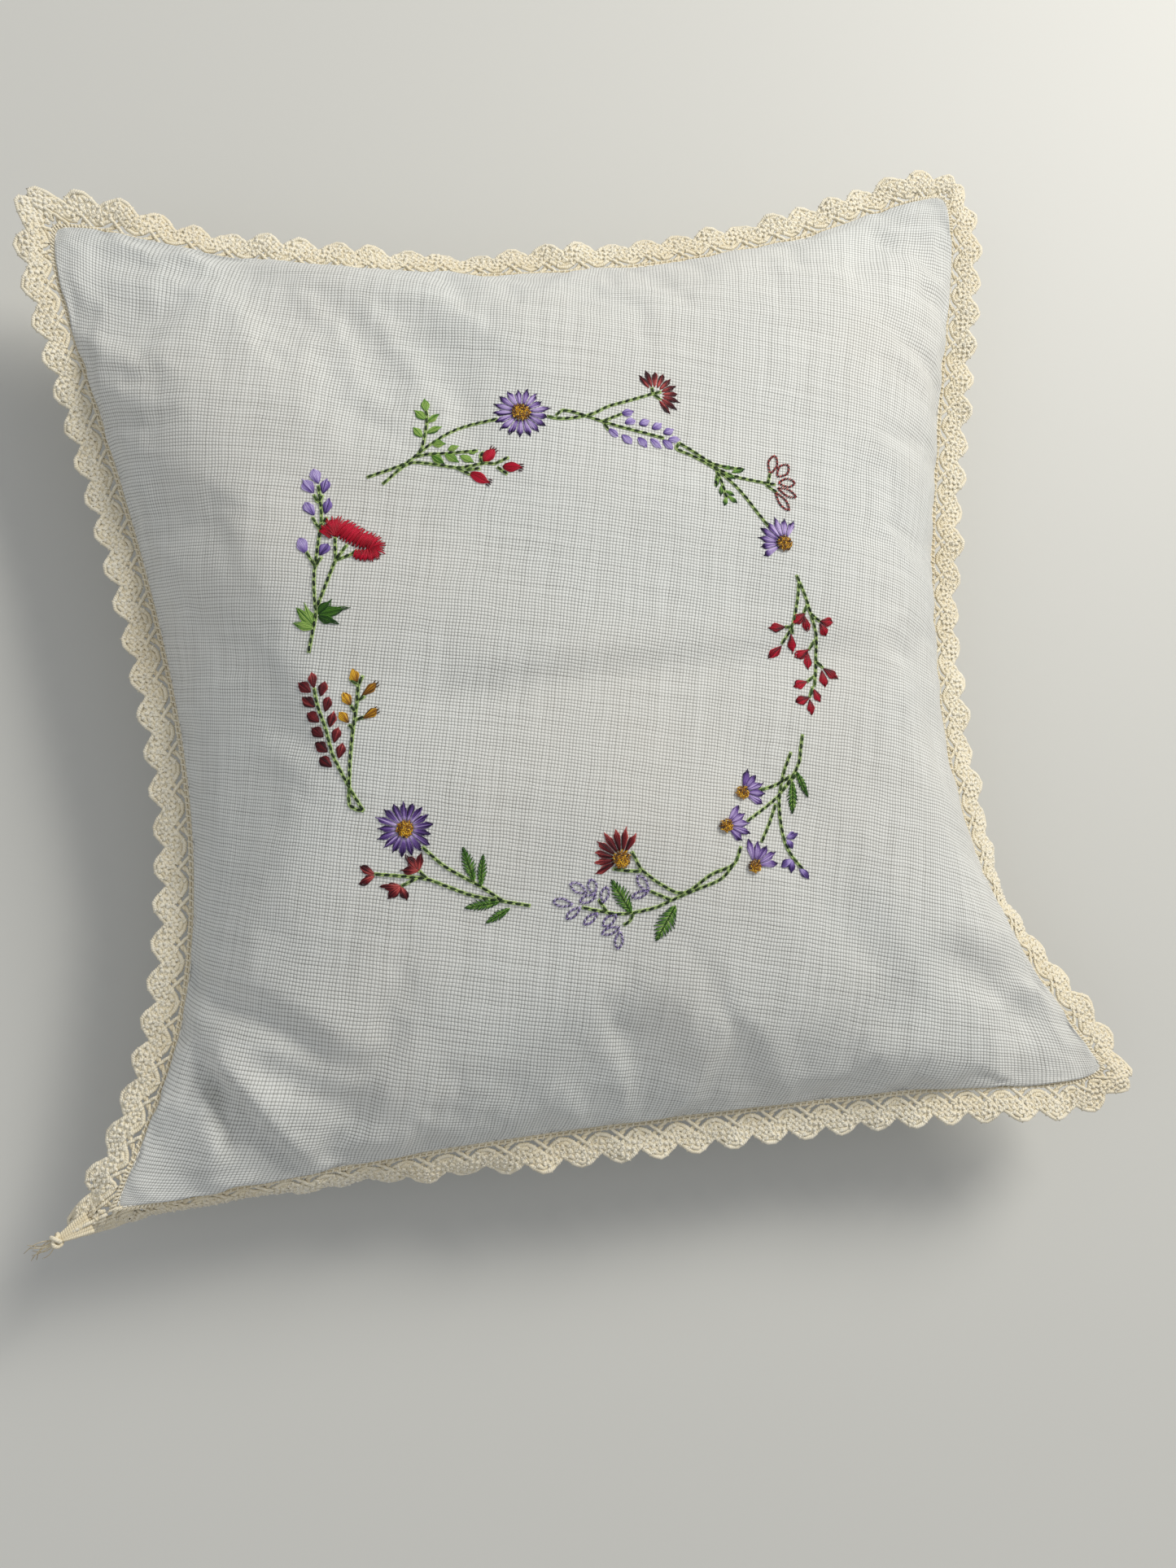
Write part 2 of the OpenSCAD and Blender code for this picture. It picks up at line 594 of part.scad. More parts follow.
// Petals of one flower, each a narrow stitched shape that points away from the centre.
module petals(flower, petal_colour) {
    reach = flower[2] - flower[1] - 0.3;
    step = (flower[4] - flower[3]) / (flower[5] - 1);
    width = min(1.9, 0.8 * 2 * PI * (flower[1] + 0.6 * reach) * step / 360);
    color(petal_colour)
        for (i = [0:flower[5] - 1]) {
            angle = flower[3] + i * step;
            on_face(flower[0][0] + (flower[1] + 0.3) * cos(angle),
                flower[0][1] + (flower[1] + 0.3) * sin(angle), angle, patch_lift)
                linear_extrude(relief)
                    polygon([
                        [0, 0.1], [0.6 * reach, width / 2], [0.9 * reach, 0.4 * width], [reach, 0],
                        [0.9 * reach, -0.4 * width], [0.6 * reach, -width / 2], [0, -0.1]
                    ]);
        }
}

module centre(flower) {
    color(gold)
        on_face(flower[0][0], flower[0][1], 0, centre_lift)
            cylinder(h = relief, r = flower[1], $fn = 32);
}

module aster_spray_stems() {
    stems(aster_spray);
}

module aster_spray_leaves() {
    leaves(aster_leaves, leaf_green);
}

module aster_spray_petals() {
    petals(aster_flower, violet);
}

module aster_spray_centre() {
    centre(aster_flower);
}

module aster_spray_buds() {
    leaves(aster_buds, crimson);
}

module cockscomb_stems() {
    stems(cockscomb_spray);
}

module cockscomb_leaves() {
    leaves(cockscomb_leaf_list, leaf_green);
}

// A satin band of even width along its middle line, drawn as one patch.
module cockscomb_flower() {
    line = cockscomb_line;
    anchor = line[3];
    places = [for (i = [0:len(line) - 2]) for (k = [0:2]) curve_part(line, i, k / 3)];
    count = len(places);
    function side_of(i, way) =
        let (from = places[max(0, i - 1)])
        let (to = places[min(count - 1, i + 1)])
        let (step = (to - from) / norm(to - from))
        places[i] - anchor + way * cockscomb_width / 2 * [-step[1], step[0]];
    color(crimson)
        on_face(anchor[0], anchor[1], 0, centre_lift)
            linear_extrude(relief)
                union() {
                    for (i = [0:count - 2])
                        polygon([side_of(i, 1), side_of(i + 1, 1), side_of(i + 1, -1), side_of(i, -1)]);
                }
}

module cockscomb_lilac_buds() {
    leaves(lilac_buds, lilac);
}

module bud_spray_stems() {
    stems(bud_spray);
}

// Buds up one side of a stem: each stands a step further on than the last.
function bud_column(row) = [
    for (k = [0:row[2] - 1])
        let (base = row[0] + k * row[1])
        [base, base + row[3], row[4]]
];

// Two ladders of buds beside the stem, and one bud on its tip.
module bud_spray_red_buds() {
    leaves(concat([red_tip_bud], bud_column(red_left), bud_column(red_right)), rust);
}

module bud_spray_yellow_buds() {
    leaves(yellow_buds, gold);
}

module lower_aster_stems() {
    stems(lower_aster_spray);
}

module lower_aster_leaves() {
    leaves(lower_aster_leaf_list, leaf_green);
}

module lower_aster_petals() {
    petals(lower_aster_flower, violet);
}

module lower_aster_centre() {
    centre(lower_aster_flower);
}

module lower_aster_rust_buds() {
    leaves(lower_rust_buds, rust);
}

module rust_daisy_stems() {
    stems(rust_daisy_spray);
}

module rust_daisy_leaves() {
    leaves(rust_daisy_leaf_list, leaf_green);
}

module rust_daisy_petals() {
    petals(rust_daisy_flower, rust);
}

module rust_daisy_centre() {
    centre(rust_daisy_flower);
}

module rust_daisy_lilac_loops() {
    loops(lilac_loops, lilac);
}

module three_aster_stems() {
    stems(three_aster_spray);
}

module three_aster_leaves() {
    leaves(three_aster_leaf_list, leaf_green);
}

module three_aster_petals() {
    for (flower = three_aster_flowers)
        petals(flower, violet);
}

module three_aster_centres() {
    for (flower = three_aster_flowers)
        centre(flower);
}

module three_aster_buds() {
    leaves(three_aster_bud_list, lilac);
}

module berry_stems() {
    stems(berry_spray);
}

// Berries as leaf shapes that lie on the face, each hanging from its stalk.
module berry_buds() {
    leaves(berries, crimson);
}

module right_aster_stems() {
    stems(right_aster_spray);
}

module right_aster_leaves() {
    leaves(right_aster_leaf_list, leaf_green);
}

module right_aster_petals() {
    petals(right_aster_flower, violet);
}

module right_aster_centre() {
    centre(right_aster_flower);
}

module right_aster_rust_loops() {
    loops(rust_loops, rust);
}

module lavender_stems() {
    stems(lavender_spray);
}

module lavender_buds() {
    leaves(lavender_bud_list, lilac);
}

module lavender_daisy_petals() {
    petals(lavender_daisy_flower, rust);
}

fibre_fill();
insert_casing_front();
insert_casing_back();
front_panel();
back_panel_lower();
back_panel_upper();
hem_thread_lower();
hem_thread_upper();
edge_seam_thread();
lace_top();
lace_right();
lace_bottom();
lace_left();
lace_tail();
aster_spray_stems();
aster_spray_leaves();
aster_spray_petals();
aster_spray_centre();
aster_spray_buds();
cockscomb_stems();
cockscomb_leaves();
cockscomb_flower();
cockscomb_lilac_buds();
bud_spray_stems();
bud_spray_red_buds();
bud_spray_yellow_buds();
lower_aster_stems();
lower_aster_leaves();
lower_aster_petals();
lower_aster_centre();
lower_aster_rust_buds();
rust_daisy_stems();
rust_daisy_leaves();
rust_daisy_petals();
rust_daisy_centre();
rust_daisy_lilac_loops();
three_aster_stems();
three_aster_leaves();
three_aster_petals();
three_aster_centres();
three_aster_buds();
berry_stems();
berry_buds();
right_aster_stems();
right_aster_leaves();
right_aster_petals();
right_aster_centre();
right_aster_rust_loops();
lavender_stems();
lavender_buds();
lavender_daisy_petals();
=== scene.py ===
import bpy
import numpy as np
from mathutils import Matrix, Vector


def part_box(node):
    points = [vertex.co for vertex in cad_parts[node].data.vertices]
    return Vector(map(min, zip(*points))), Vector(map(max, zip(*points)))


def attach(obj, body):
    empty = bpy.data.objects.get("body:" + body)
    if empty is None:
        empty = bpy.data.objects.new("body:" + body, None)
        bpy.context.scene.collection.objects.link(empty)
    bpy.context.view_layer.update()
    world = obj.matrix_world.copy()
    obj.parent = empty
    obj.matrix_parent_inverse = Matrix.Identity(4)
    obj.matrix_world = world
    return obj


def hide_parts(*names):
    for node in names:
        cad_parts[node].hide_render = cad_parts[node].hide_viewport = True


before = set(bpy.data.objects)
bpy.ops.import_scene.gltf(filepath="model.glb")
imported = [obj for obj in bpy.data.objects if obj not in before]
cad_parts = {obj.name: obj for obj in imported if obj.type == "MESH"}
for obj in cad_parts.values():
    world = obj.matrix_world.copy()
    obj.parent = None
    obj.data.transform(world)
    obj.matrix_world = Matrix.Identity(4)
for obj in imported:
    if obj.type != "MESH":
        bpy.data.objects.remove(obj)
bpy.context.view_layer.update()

mm = 0.001
goldenShare, goldenTurn = 0.618, 2.399     # steps that spread numbers evenly over 1 and over a turn
rng = np.random.default_rng(11)

# All shapes below are worked out in millimetres and scaled once, when the mesh is made.
faceLow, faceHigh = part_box("front_panel")
laceLow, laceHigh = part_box("lace_bottom")
pillow = {
    "half": (faceHigh[0] - faceLow[0]) / mm / 2,      # half the distance between stuffed corners
    "seam": (laceLow[2] + laceHigh[2]) / mm / 2,      # height of the edge seam
    "top": faceHigh[2] / mm,                          # height of the crown
    "backDrop": 46.0,                                 # drop of the back before it is flattened
    "bulgePower": 0.55,
    "pullRight": 30.0, "pullLeft": 24.0, "pullTop": 21.0, "pullSkew": 0.6,
    "bowBottom": 4.0,                                 # how far the bottom seam bows out
    "blunt": 0.030, "bluntLowerLeft": 0.012, "bluntPower": 14,
    "flatCut": 305.0, "allowance": 6.5,               # size the cloth was cut to, and its seam allowance
    "cloth": 0.5,                                     # thickness of the cloth
    "cells": 96,                                      # grid cells a side before the upsampling
}
half = pillow["half"]


def gridFaces(rows, columns, start=0):
    # quads of a grid of points that is stored row by row, facing up when rows run along +Y
    j, i = np.mgrid[0:rows - 1, 0:columns - 1]
    a = start + j * columns + i
    return np.stack([a, a + 1, a + columns + 1, a + columns], -1).reshape(-1, 4)


def closedFaces(n):
    # faces of two square grids that share their rim; the second one's inner points follow the first
    number = np.arange(n * n).reshape(n, n)
    number[1:-1, 1:-1] = n * n + np.arange((n - 2) ** 2).reshape(n - 2, n - 2)
    faces = gridFaces(n, n)
    return [faces, number.ravel()[faces][:, ::-1]]


def joined(first, second):
    # points of two such grids in the order that closedFaces expects
    width = first.shape[-1]
    return np.concatenate([first.reshape(-1, width), second[1:-1, 1:-1].reshape(-1, width)])


def putMesh(name, points, faceLists, material, attributes=None, uv=None):
    # points in millimetres, and face lists that each hold faces of one size
    mesh = bpy.data.meshes.new(name)
    points = np.asarray(points, float).reshape(-1, 3)
    mesh.vertices.add(len(points))
    mesh.vertices.foreach_set("co", (points * mm).astype(np.float32).ravel())
    loops = np.concatenate([np.asarray(f).ravel() for f in faceLists]).astype(np.int32)
    sizes = np.concatenate([np.full(len(f), np.asarray(f).shape[1]) for f in faceLists])
    starts = np.concatenate([[0], np.cumsum(sizes)[:-1]]).astype(np.int32)
    mesh.loops.add(len(loops))
    mesh.loops.foreach_set("vertex_index", loops)
    mesh.polygons.add(len(sizes))
    mesh.polygons.foreach_set("loop_start", starts)
    mesh.update(calc_edges=True)
    mesh.polygons.foreach_set("use_smooth", np.ones(len(sizes), bool))
    for key, values in (attributes or {}).items():
        layer = mesh.attributes.new(key, "FLOAT", "POINT")
        layer.data.foreach_set("value", np.asarray(values, np.float32).ravel())
    if uv is not None:
        layer = mesh.uv_layers.new(name="cloth")
        layer.data.foreach_set("uv", (np.asarray(uv)[loops] * mm).astype(np.float32).ravel())
    mesh.materials.append(material)
    piece = bpy.data.objects.new(name, mesh)
    bpy.context.scene.collection.objects.link(piece)
    return piece


def unit(vectors):
    return vectors / np.maximum(np.linalg.norm(vectors, axis=-1, keepdims=True), 1e-9)


def sweep(paths, ups, width, height, sides=6):
    # Tubes: a ring of the given width and height carried along each path.
    # paths and ups are (tubes, points, 3), width and height are (tubes, points).
    paths = np.asarray(paths, float)
    tubes, count = paths.shape[:2]
    along = unit(np.gradient(paths, axis=1))
    across = unit(np.cross(ups, along))
    up = np.cross(along, across)
    turn = 2 * np.pi * np.arange(sides) / sides
    width = np.broadcast_to(width, (tubes, count))[..., None, None] / 2
    height = np.broadcast_to(height, (tubes, count))[..., None, None] / 2
    ring = paths[:, :, None] + across[:, :, None] * width * np.cos(turn)[:, None]
    ring = ring + up[:, :, None] * height * np.sin(turn)[:, None]
    t, k, s = np.mgrid[0:tubes, 0:count - 1, 0:sides]
    after = (s + 1) % sides
    base = (t * count + k) * sides
    walls = np.stack([base + s, base + after, base + sides + after, base + sides + s], -1).reshape(-1, 4)
    first = (np.arange(tubes) * count * sides)[:, None]
    caps = np.concatenate([first + np.arange(sides)[::-1], first + (count - 1) * sides + np.arange(sides)])
    steps = np.linalg.norm(np.diff(paths, axis=1), axis=-1)
    reach = np.concatenate([np.zeros((tubes, 1)), np.cumsum(steps, 1)], 1)
    marks = {
        "reach": np.repeat(reach[..., None], sides, -1),
        "turn": np.broadcast_to(np.arange(sides) / sides, (tubes, count, sides)),
        "strand": np.broadcast_to(np.arange(tubes)[:, None, None] * goldenShare % 1, (tubes, count, sides)),
    }
    return {"points": ring.reshape(-1, 3), "walls": walls, "caps": caps, "marks": marks}


def putSweeps(name, parts, material):
    # joins several sets of tubes with the same number of sides into one piece
    points, walls, caps, marks, start = [], [], [], {}, 0
    for part in parts:
        points.append(part["points"])
        walls.append(part["walls"] + start)
        caps.append(part["caps"] + start)
        for key, values in part["marks"].items():
            marks.setdefault(key, []).append(np.asarray(values).ravel())
        start += len(part["points"])
    marks = {key: np.concatenate(values) for key, values in marks.items()}
    return putMesh(name, np.concatenate(points), [np.concatenate(walls), np.concatenate(caps)],
                   material, attributes=marks)


def smoothWaves(x, y, count, shortest, longest, seed):
    # sum of plane waves with seeded directions and phases, about -1 to 1
    draw = np.random.default_rng(seed)
    angle, phase = draw.uniform(0, np.pi, count), draw.uniform(0, 2 * np.pi, count)
    wave = 2 * np.pi / draw.uniform(shortest, longest, count)
    total = sum(np.sin(w * (x * np.cos(a) + y * np.sin(a)) + f) for a, f, w in zip(angle, phase, wave))
    return total / np.sqrt(count)


def bulge(u, v):
    # 0 at the seam, 1 in the middle
    return np.maximum((1 - u * u) * (1 - v * v), 0) ** pillow["bulgePower"]


def planX(u, v):
    # straight edge, pulled in at mid height and most strongly towards the bottom
    pull = np.where(u > 0, pillow["pullRight"], pillow["pullLeft"])
    return half * u - pull * u ** 3 * (1 - v * v) * (1 - pillow["pullSkew"] * v)


def planY(u, v):
    # the top edge pulls in, and the bottom edge bows out a little on its left half
    shift = np.where(v > 0, pillow["pullTop"] * (1 - u * u),
                     -pillow["bowBottom"] * (1 - u * u) * (1 - 0.7 * u))
    return half * v - shift * np.abs(v) ** 3 * np.sign(v) * np.where(v > 0, 1, -1)


def clothSteps():
    # places along the cloth at equal lengths over the bulge, from -1 to 1
    fine = np.linspace(-1, 1, 4001)
    rise = (pillow["top"] - pillow["seam"]) * bulge(fine, 0 * fine)
    reach = np.concatenate([[0], np.cumsum(np.hypot(np.diff(planX(fine, 0 * fine)), np.diff(rise)))])
    return np.interp(np.linspace(0, reach[-1], pillow["cells"] + 1), reach, fine)


def roundCorners(u, v):
    # pulls the tips of the corners in by a high power of u * v, so that each one is blunt
    near = np.abs(u * v)
    pulled = np.where((u < 0) & (v < 0), pillow["bluntLowerLeft"], pillow["blunt"])
    return 1 - pulled * near ** pillow["bluntPower"]


def clothSurface(side):
    # one side of the cover over the (u, v) grid; side is 1 for the face and -1 for the back
    steps = clothSteps()
    u, v = np.meshgrid(steps, steps)
    blunt = roundCorners(u, v)
    height = bulge(u, v)
    if side > 0:
        z = pillow["seam"] + (pillow["top"] - pillow["seam"]) * height
    else:
        z = pillow["seam"] - pillow["backDrop"] * height
        z = np.where(z > 3, z, 3 * np.exp((z - 3) / 3))
    return np.stack([planX(u, v) * blunt, planY(u, v) * blunt, z], -1)


clothAir = {
    "pressure": 2.2,       # how hard the filling pushes
    "nudge": 0.12,         # height of the first unevenness, which the puckers grow from
    "growth": 0.030,       # share that the cloth is longer than the smooth form
    "stretch": 30, "shear": 12, "bending": 0.4,      # stiffness of the cloth
    "frames": 26,
    "most": 7.0,           # farthest that a point may move
    "kept": 0.62,          # share of the puckers that is kept
    "blur": 9,             # grid cells over which the overall swelling is taken out
}


def blurred(grid, width):
    # running mean over the grid both ways, three times, with nothing moving at the seam
    for _ in range(3):
        for axis in (0, 1):
            g = np.moveaxis(grid, axis, 0)
            pad = np.concatenate([-g[width:0:-1], g, -g[-2:-width - 2:-1]])
            total = np.concatenate([np.zeros((1,) + g.shape[1:]), np.cumsum(pad, 0)])
            grid = np.moveaxis((total[2 * width + 1:] - total[:-2 * width - 1]) / (2 * width + 1), 0, axis)
    return grid


def puckersOnly(moved, start):
    # keeps the puckers of a settled side and takes its overall swelling out
    shift = moved - start
    return start + clothAir["kept"] * (shift - blurred(shift, clothAir["blur"]))


def settleCloth(front, back):
    # the closed cover with its seam held: the cloth is a little too long for its smooth form,
    # so it buckles into puckers as the filling pushes it out
    n = front.shape[0]
    start = joined(front, back)
    nudge = np.stack([smoothWaves(start[:, 0], start[:, 1], 6, 9, 30, seed) for seed in (1, 2, 3)], -1)
    rim = np.zeros((n, n), bool)
    rim[[0, -1]] = True
    rim[:, [0, -1]] = True
    held = np.flatnonzero(rim.ravel())
    nudge[held] = 0
    nudged = start + clothAir["nudge"] * nudge
    cover = putMesh("settling", nudged, closedFaces(n), bpy.data.materials.new("plain"))
    group = cover.vertex_groups.new(name="seam")
    group.add([int(k) for k in held], 1.0, "REPLACE")
    cloth = cover.modifiers.new("Cloth", "CLOTH")
    settings = cloth.settings
    settings.quality = 5
    settings.mass = 0.15
    settings.tension_stiffness = settings.compression_stiffness = clothAir["stretch"]
    settings.shear_stiffness = clothAir["shear"]
    settings.bending_stiffness = clothAir["bending"]
    settings.vertex_group_mass = "seam"
    settings.use_pressure = True
    settings.uniform_pressure_force = clothAir["pressure"]
    settings.shrink_min = -clothAir["growth"]
    settings.effector_weights.gravity = 0
    cloth.point_cache.frame_end = clothAir["frames"]
    for moment in range(1, clothAir["frames"] + 1):
        bpy.context.scene.frame_set(moment)
    done = cover.evaluated_get(bpy.context.evaluated_depsgraph_get()).data
    moved = np.empty(len(done.vertices) * 3, np.float32)
    done.vertices.foreach_get("co", moved)
    shift = moved.reshape(-1, 3) / mm - start
    reach = np.linalg.norm(shift, axis=1, keepdims=True)
    print("cloth moved", round(float(reach.mean()), 2), "mm on average, most", round(float(reach.max()), 2))
    shift *= clothAir["most"] * np.tanh(reach / clothAir["most"]) / np.maximum(reach, 1e-6)
    bpy.context.scene.frame_set(1)
    bpy.data.objects.remove(cover)
    end = start + shift
    newBack = back.copy()
    newBack[1:-1, 1:-1] = end[n * n:].reshape(n - 2, n - 2, 3)
    return puckersOnly(end[:n * n].reshape(n, n, 3), front), puckersOnly(newBack, back)


def finer(grid):
    # doubles the grid along each way with a smooth curve through its points
    for axis in (0, 1):
        g = np.moveaxis(grid, axis, 0)
        pad = np.concatenate([[2 * g[0] - g[1]], g, [2 * g[-1] - g[-2]]])
        middle = (9 * (pad[1:-2] + pad[2:-1]) - pad[:-3] - pad[3:]) / 16
        out = np.empty((2 * len(g) - 1,) + g.shape[1:])
        out[::2] = g
        out[1::2] = middle
        grid = np.moveaxis(out, 0, axis)
    return grid


# Folds that stay in the face: the points each runs through, its depth and width, and how far its
# left side stands above its right side
folds = [
    (((-124, -72), (-112, -88), (-101, -94), (-93, -100), (-84, -108), (-72, -114)), 3.6, 4.2, 1.2),
    (((-121, -100), (-116, -109), (-109, -118), (-104, -126), (-98, -134), (-90, -148)), 3.0, 2.6, 3.6),
    (((-117, -108), (-114, -118), (-113, -125), (-112, -134)), 2.6, 2.4, -1.2),
    (((-108, -105), (-95, -111), (-82, -120), (-66, -129)), 1.8, 5.0, 1.2),
    (((-90, -132), (-77, -140), (-62, -146)), 1.8, 4.5, 1.0),
    (((-60, -17), (100, -14)), 0.9, 5.0, 0.6),
    (((-136, 137), (-108, 126), (-78, 118)), 2.2, 6.0, 1.0),
    (((120, 128), (92, 104)), 2.4, 7.0, 1.2),
    (((128, -130), (86, -96)), 2.6, 7.0, -1.4),
    (((-46, -128), (10, -104)), 1.6, 9.0, 0.8),
    (((40, -132), (84, -112)), 1.5, 8.0, -0.8),
    (((-110, 20), (-84, 6)), 1.2, 7.0, 0.6),
    (((112, -30), (84, -44)), 1.3, 8.0, -0.7),
]
# Long soft waves over the whole face
coverWaves = {
    "hold": 0.18,                                     # how soon the folds start beyond the seam
    "height": 0.5, "count": 7, "shortest": 40, "longest": 120, "seed": 5,
}
# How far each corner is drawn out, across and up, and how wide an area follows it
cornerPush = {(-1, -1): (-4.0, 0.0), (1, -1): (5.0, -4.5), (-1, 1): (-2.0, 4.5), (1, 1): (2.0, 4.0)}
pushReach = 30.0


def foldHeights(x, y):
    # each fold is a valley with a soft step beside it, fading out at both ends
    total = np.zeros_like(x)
    for path, depth, width, step in folds:
        path = np.array(path, float)
        runs = np.linalg.norm(np.diff(path, axis=0), axis=1)
        away = np.full(x.shape, np.inf)
        side, share, passed = np.zeros_like(x), np.zeros_like(x), 0.0
        for start, end, run in zip(path, path[1:], runs):
            along = (end - start) / run
            reach = np.clip((x - start[0]) * along[0] + (y - start[1]) * along[1], 0, run)
            dx, dy = x - start[0] - reach * along[0], y - start[1] - reach * along[1]
            distance = np.hypot(dx, dy)
            closer = distance < away
            away = np.where(closer, distance, away)
            side = np.where(closer, np.sign(dy * along[0] - dx * along[1]), side)
            share = np.where(closer, (passed + reach) / runs.sum(), share)
            passed += run
        fade = np.minimum(1, 6 * share) * np.minimum(1, 4 * (1 - share))
        valley = -depth * np.exp(-(away / width) ** 2)
        ridge = step * side * np.tanh(away / width) * np.exp(-(away / (3.5 * width)) ** 2)
        total += fade * (valley + ridge)
    return total


def drawCorners(front, back):
    # moves each corner outwards by a bell curve of the distance from it, the same on both sides
    for (right, up), push in cornerPush.items():
        corner = front[-1 if up > 0 else 0, -1 if right > 0 else 0, :2].copy()
        for grid in (front, back):
            near = np.exp(-(np.linalg.norm(grid[..., :2] - corner, axis=-1) / pushReach) ** 2)
            grid[..., :2] += near[..., None] * np.array(push)


def coverGrids():
    front, back = clothSurface(1), clothSurface(-1)
    front, back = settleCloth(front, back)
    back[..., 2] = np.maximum(back[..., 2], 0)
    drawCorners(front, back)
    front, back = finer(front), finer(back)
    inner = np.minimum(1, coverWaves["hold"] * (front[..., 2] - pillow["seam"]))
    front[..., 2] += inner * foldHeights(front[..., 0], front[..., 1])
    waves = smoothWaves(front[..., 0], front[..., 1], coverWaves["count"], coverWaves["shortest"],
                        coverWaves["longest"], coverWaves["seed"])
    front[..., 2] += inner * coverWaves["height"] * waves
    back[..., 2] = np.maximum(back[..., 2], 0)
    return front, back


front, back = coverGrids()
print("cover surfaces ready", front.shape)


def gridNormals(grid):
    # unit cross product of the steps along the two ways of a grid
    alongU = np.gradient(grid, axis=1)
    alongV = np.gradient(grid, axis=0)
    return unit(np.cross(alongU, alongV))


frontNormals = gridNormals(front)


def readGrid(grid, p, q):
    # value of a grid at places p across and q up, each from -1 to 1
    n = grid.shape[0] - 1
    i, j = np.clip((p + 1) * n / 2, 0, n - 1e-6), np.clip((q + 1) * n / 2, 0, n - 1e-6)
    a, b = i.astype(int), j.astype(int)
    s, t = (i - a)[..., None], (j - b)[..., None]
    low = grid[b, a] * (1 - s) + grid[b, a + 1] * s
    high = grid[b + 1, a] * (1 - s) + grid[b + 1, a + 1] * s
    return low * (1 - t) + high * t


def onFace(places, lift=0.0):
    # points on the face above places (x, y), raised along the face's normal; also the normals
    places = np.asarray(places, float)
    p, q = places[..., 0] / half, places[..., 1] / half
    for _ in range(14):
        found = readGrid(front, p, q)
        p = np.clip(p + (places[..., 0] - found[..., 0]) / half * 0.95, -1, 1)
        q = np.clip(q + (places[..., 1] - found[..., 1]) / half * 0.95, -1, 1)
    normals = unit(readGrid(frontNormals, p, q))
    return readGrid(front, p, q) + normals * np.asarray(lift)[..., None], normals


# Materials
def feed(tree, socket, value):
    # an input takes another node's output or a plain value
    if isinstance(value, bpy.types.NodeSocket):
        tree.links.new(value, socket)
    else:
        socket.default_value = value


def addNode(tree, kind, inputs=None, **settings):
    # a node with its settings and inputs
    made = tree.nodes.new(kind)
    for key, value in settings.items():
        setattr(made, key, value)
    for key, value in (inputs or {}).items():
        feed(tree, made.inputs[key], value)
    return made


def sums(tree, operation, a, b=0.0):
    return addNode(tree, "ShaderNodeMath", {0: a, 1: b}, operation=operation).outputs[0]


def noiseAt(tree, place, scale, detail=2.0, **inputs):
    # noise texture at the given places
    return addNode(tree, "ShaderNodeTexNoise", {"Vector": place, "Scale": scale, "Detail": detail, **inputs})


def mixed(tree, share, a, b):
    made = addNode(tree, "ShaderNodeMix", data_type="RGBA")
    for key, value in ((0, share), (6, a), (7, b)):
        feed(tree, made.inputs[key], value)
    return made.outputs[2]


def ramp(tree, value, stops):
    # stops are (place, colour)
    made = addNode(tree, "ShaderNodeValToRGB", {0: value})
    points = made.color_ramp.elements
    while len(points) < len(stops):
        points.new(0.5)
    for point, (place, colour) in zip(points, stops):
        point.position, point.color = place, (*colour, 1)
    return made.outputs[0]


def shades(*values):
    # a display colour of 0 to 255 as the linear colour that a shader takes
    c = np.array(values) / 255
    return tuple(float(x) for x in np.where(c <= 0.04045, c / 12.92, ((c + 0.055) / 1.055) ** 2.4))


def newGroup(name, inputs, outputs):
    group = bpy.data.node_groups.new(name, "ShaderNodeTree")
    for key, kind, value in inputs:
        socket = group.interface.new_socket(name=key, in_out="INPUT", socket_type=kind)
        if value is not None:
            socket.default_value = value
    for key, kind in outputs:
        group.interface.new_socket(name=key, in_out="OUTPUT", socket_type=kind)
    return group, group.nodes.new("NodeGroupInput"), group.nodes.new("NodeGroupOutput")


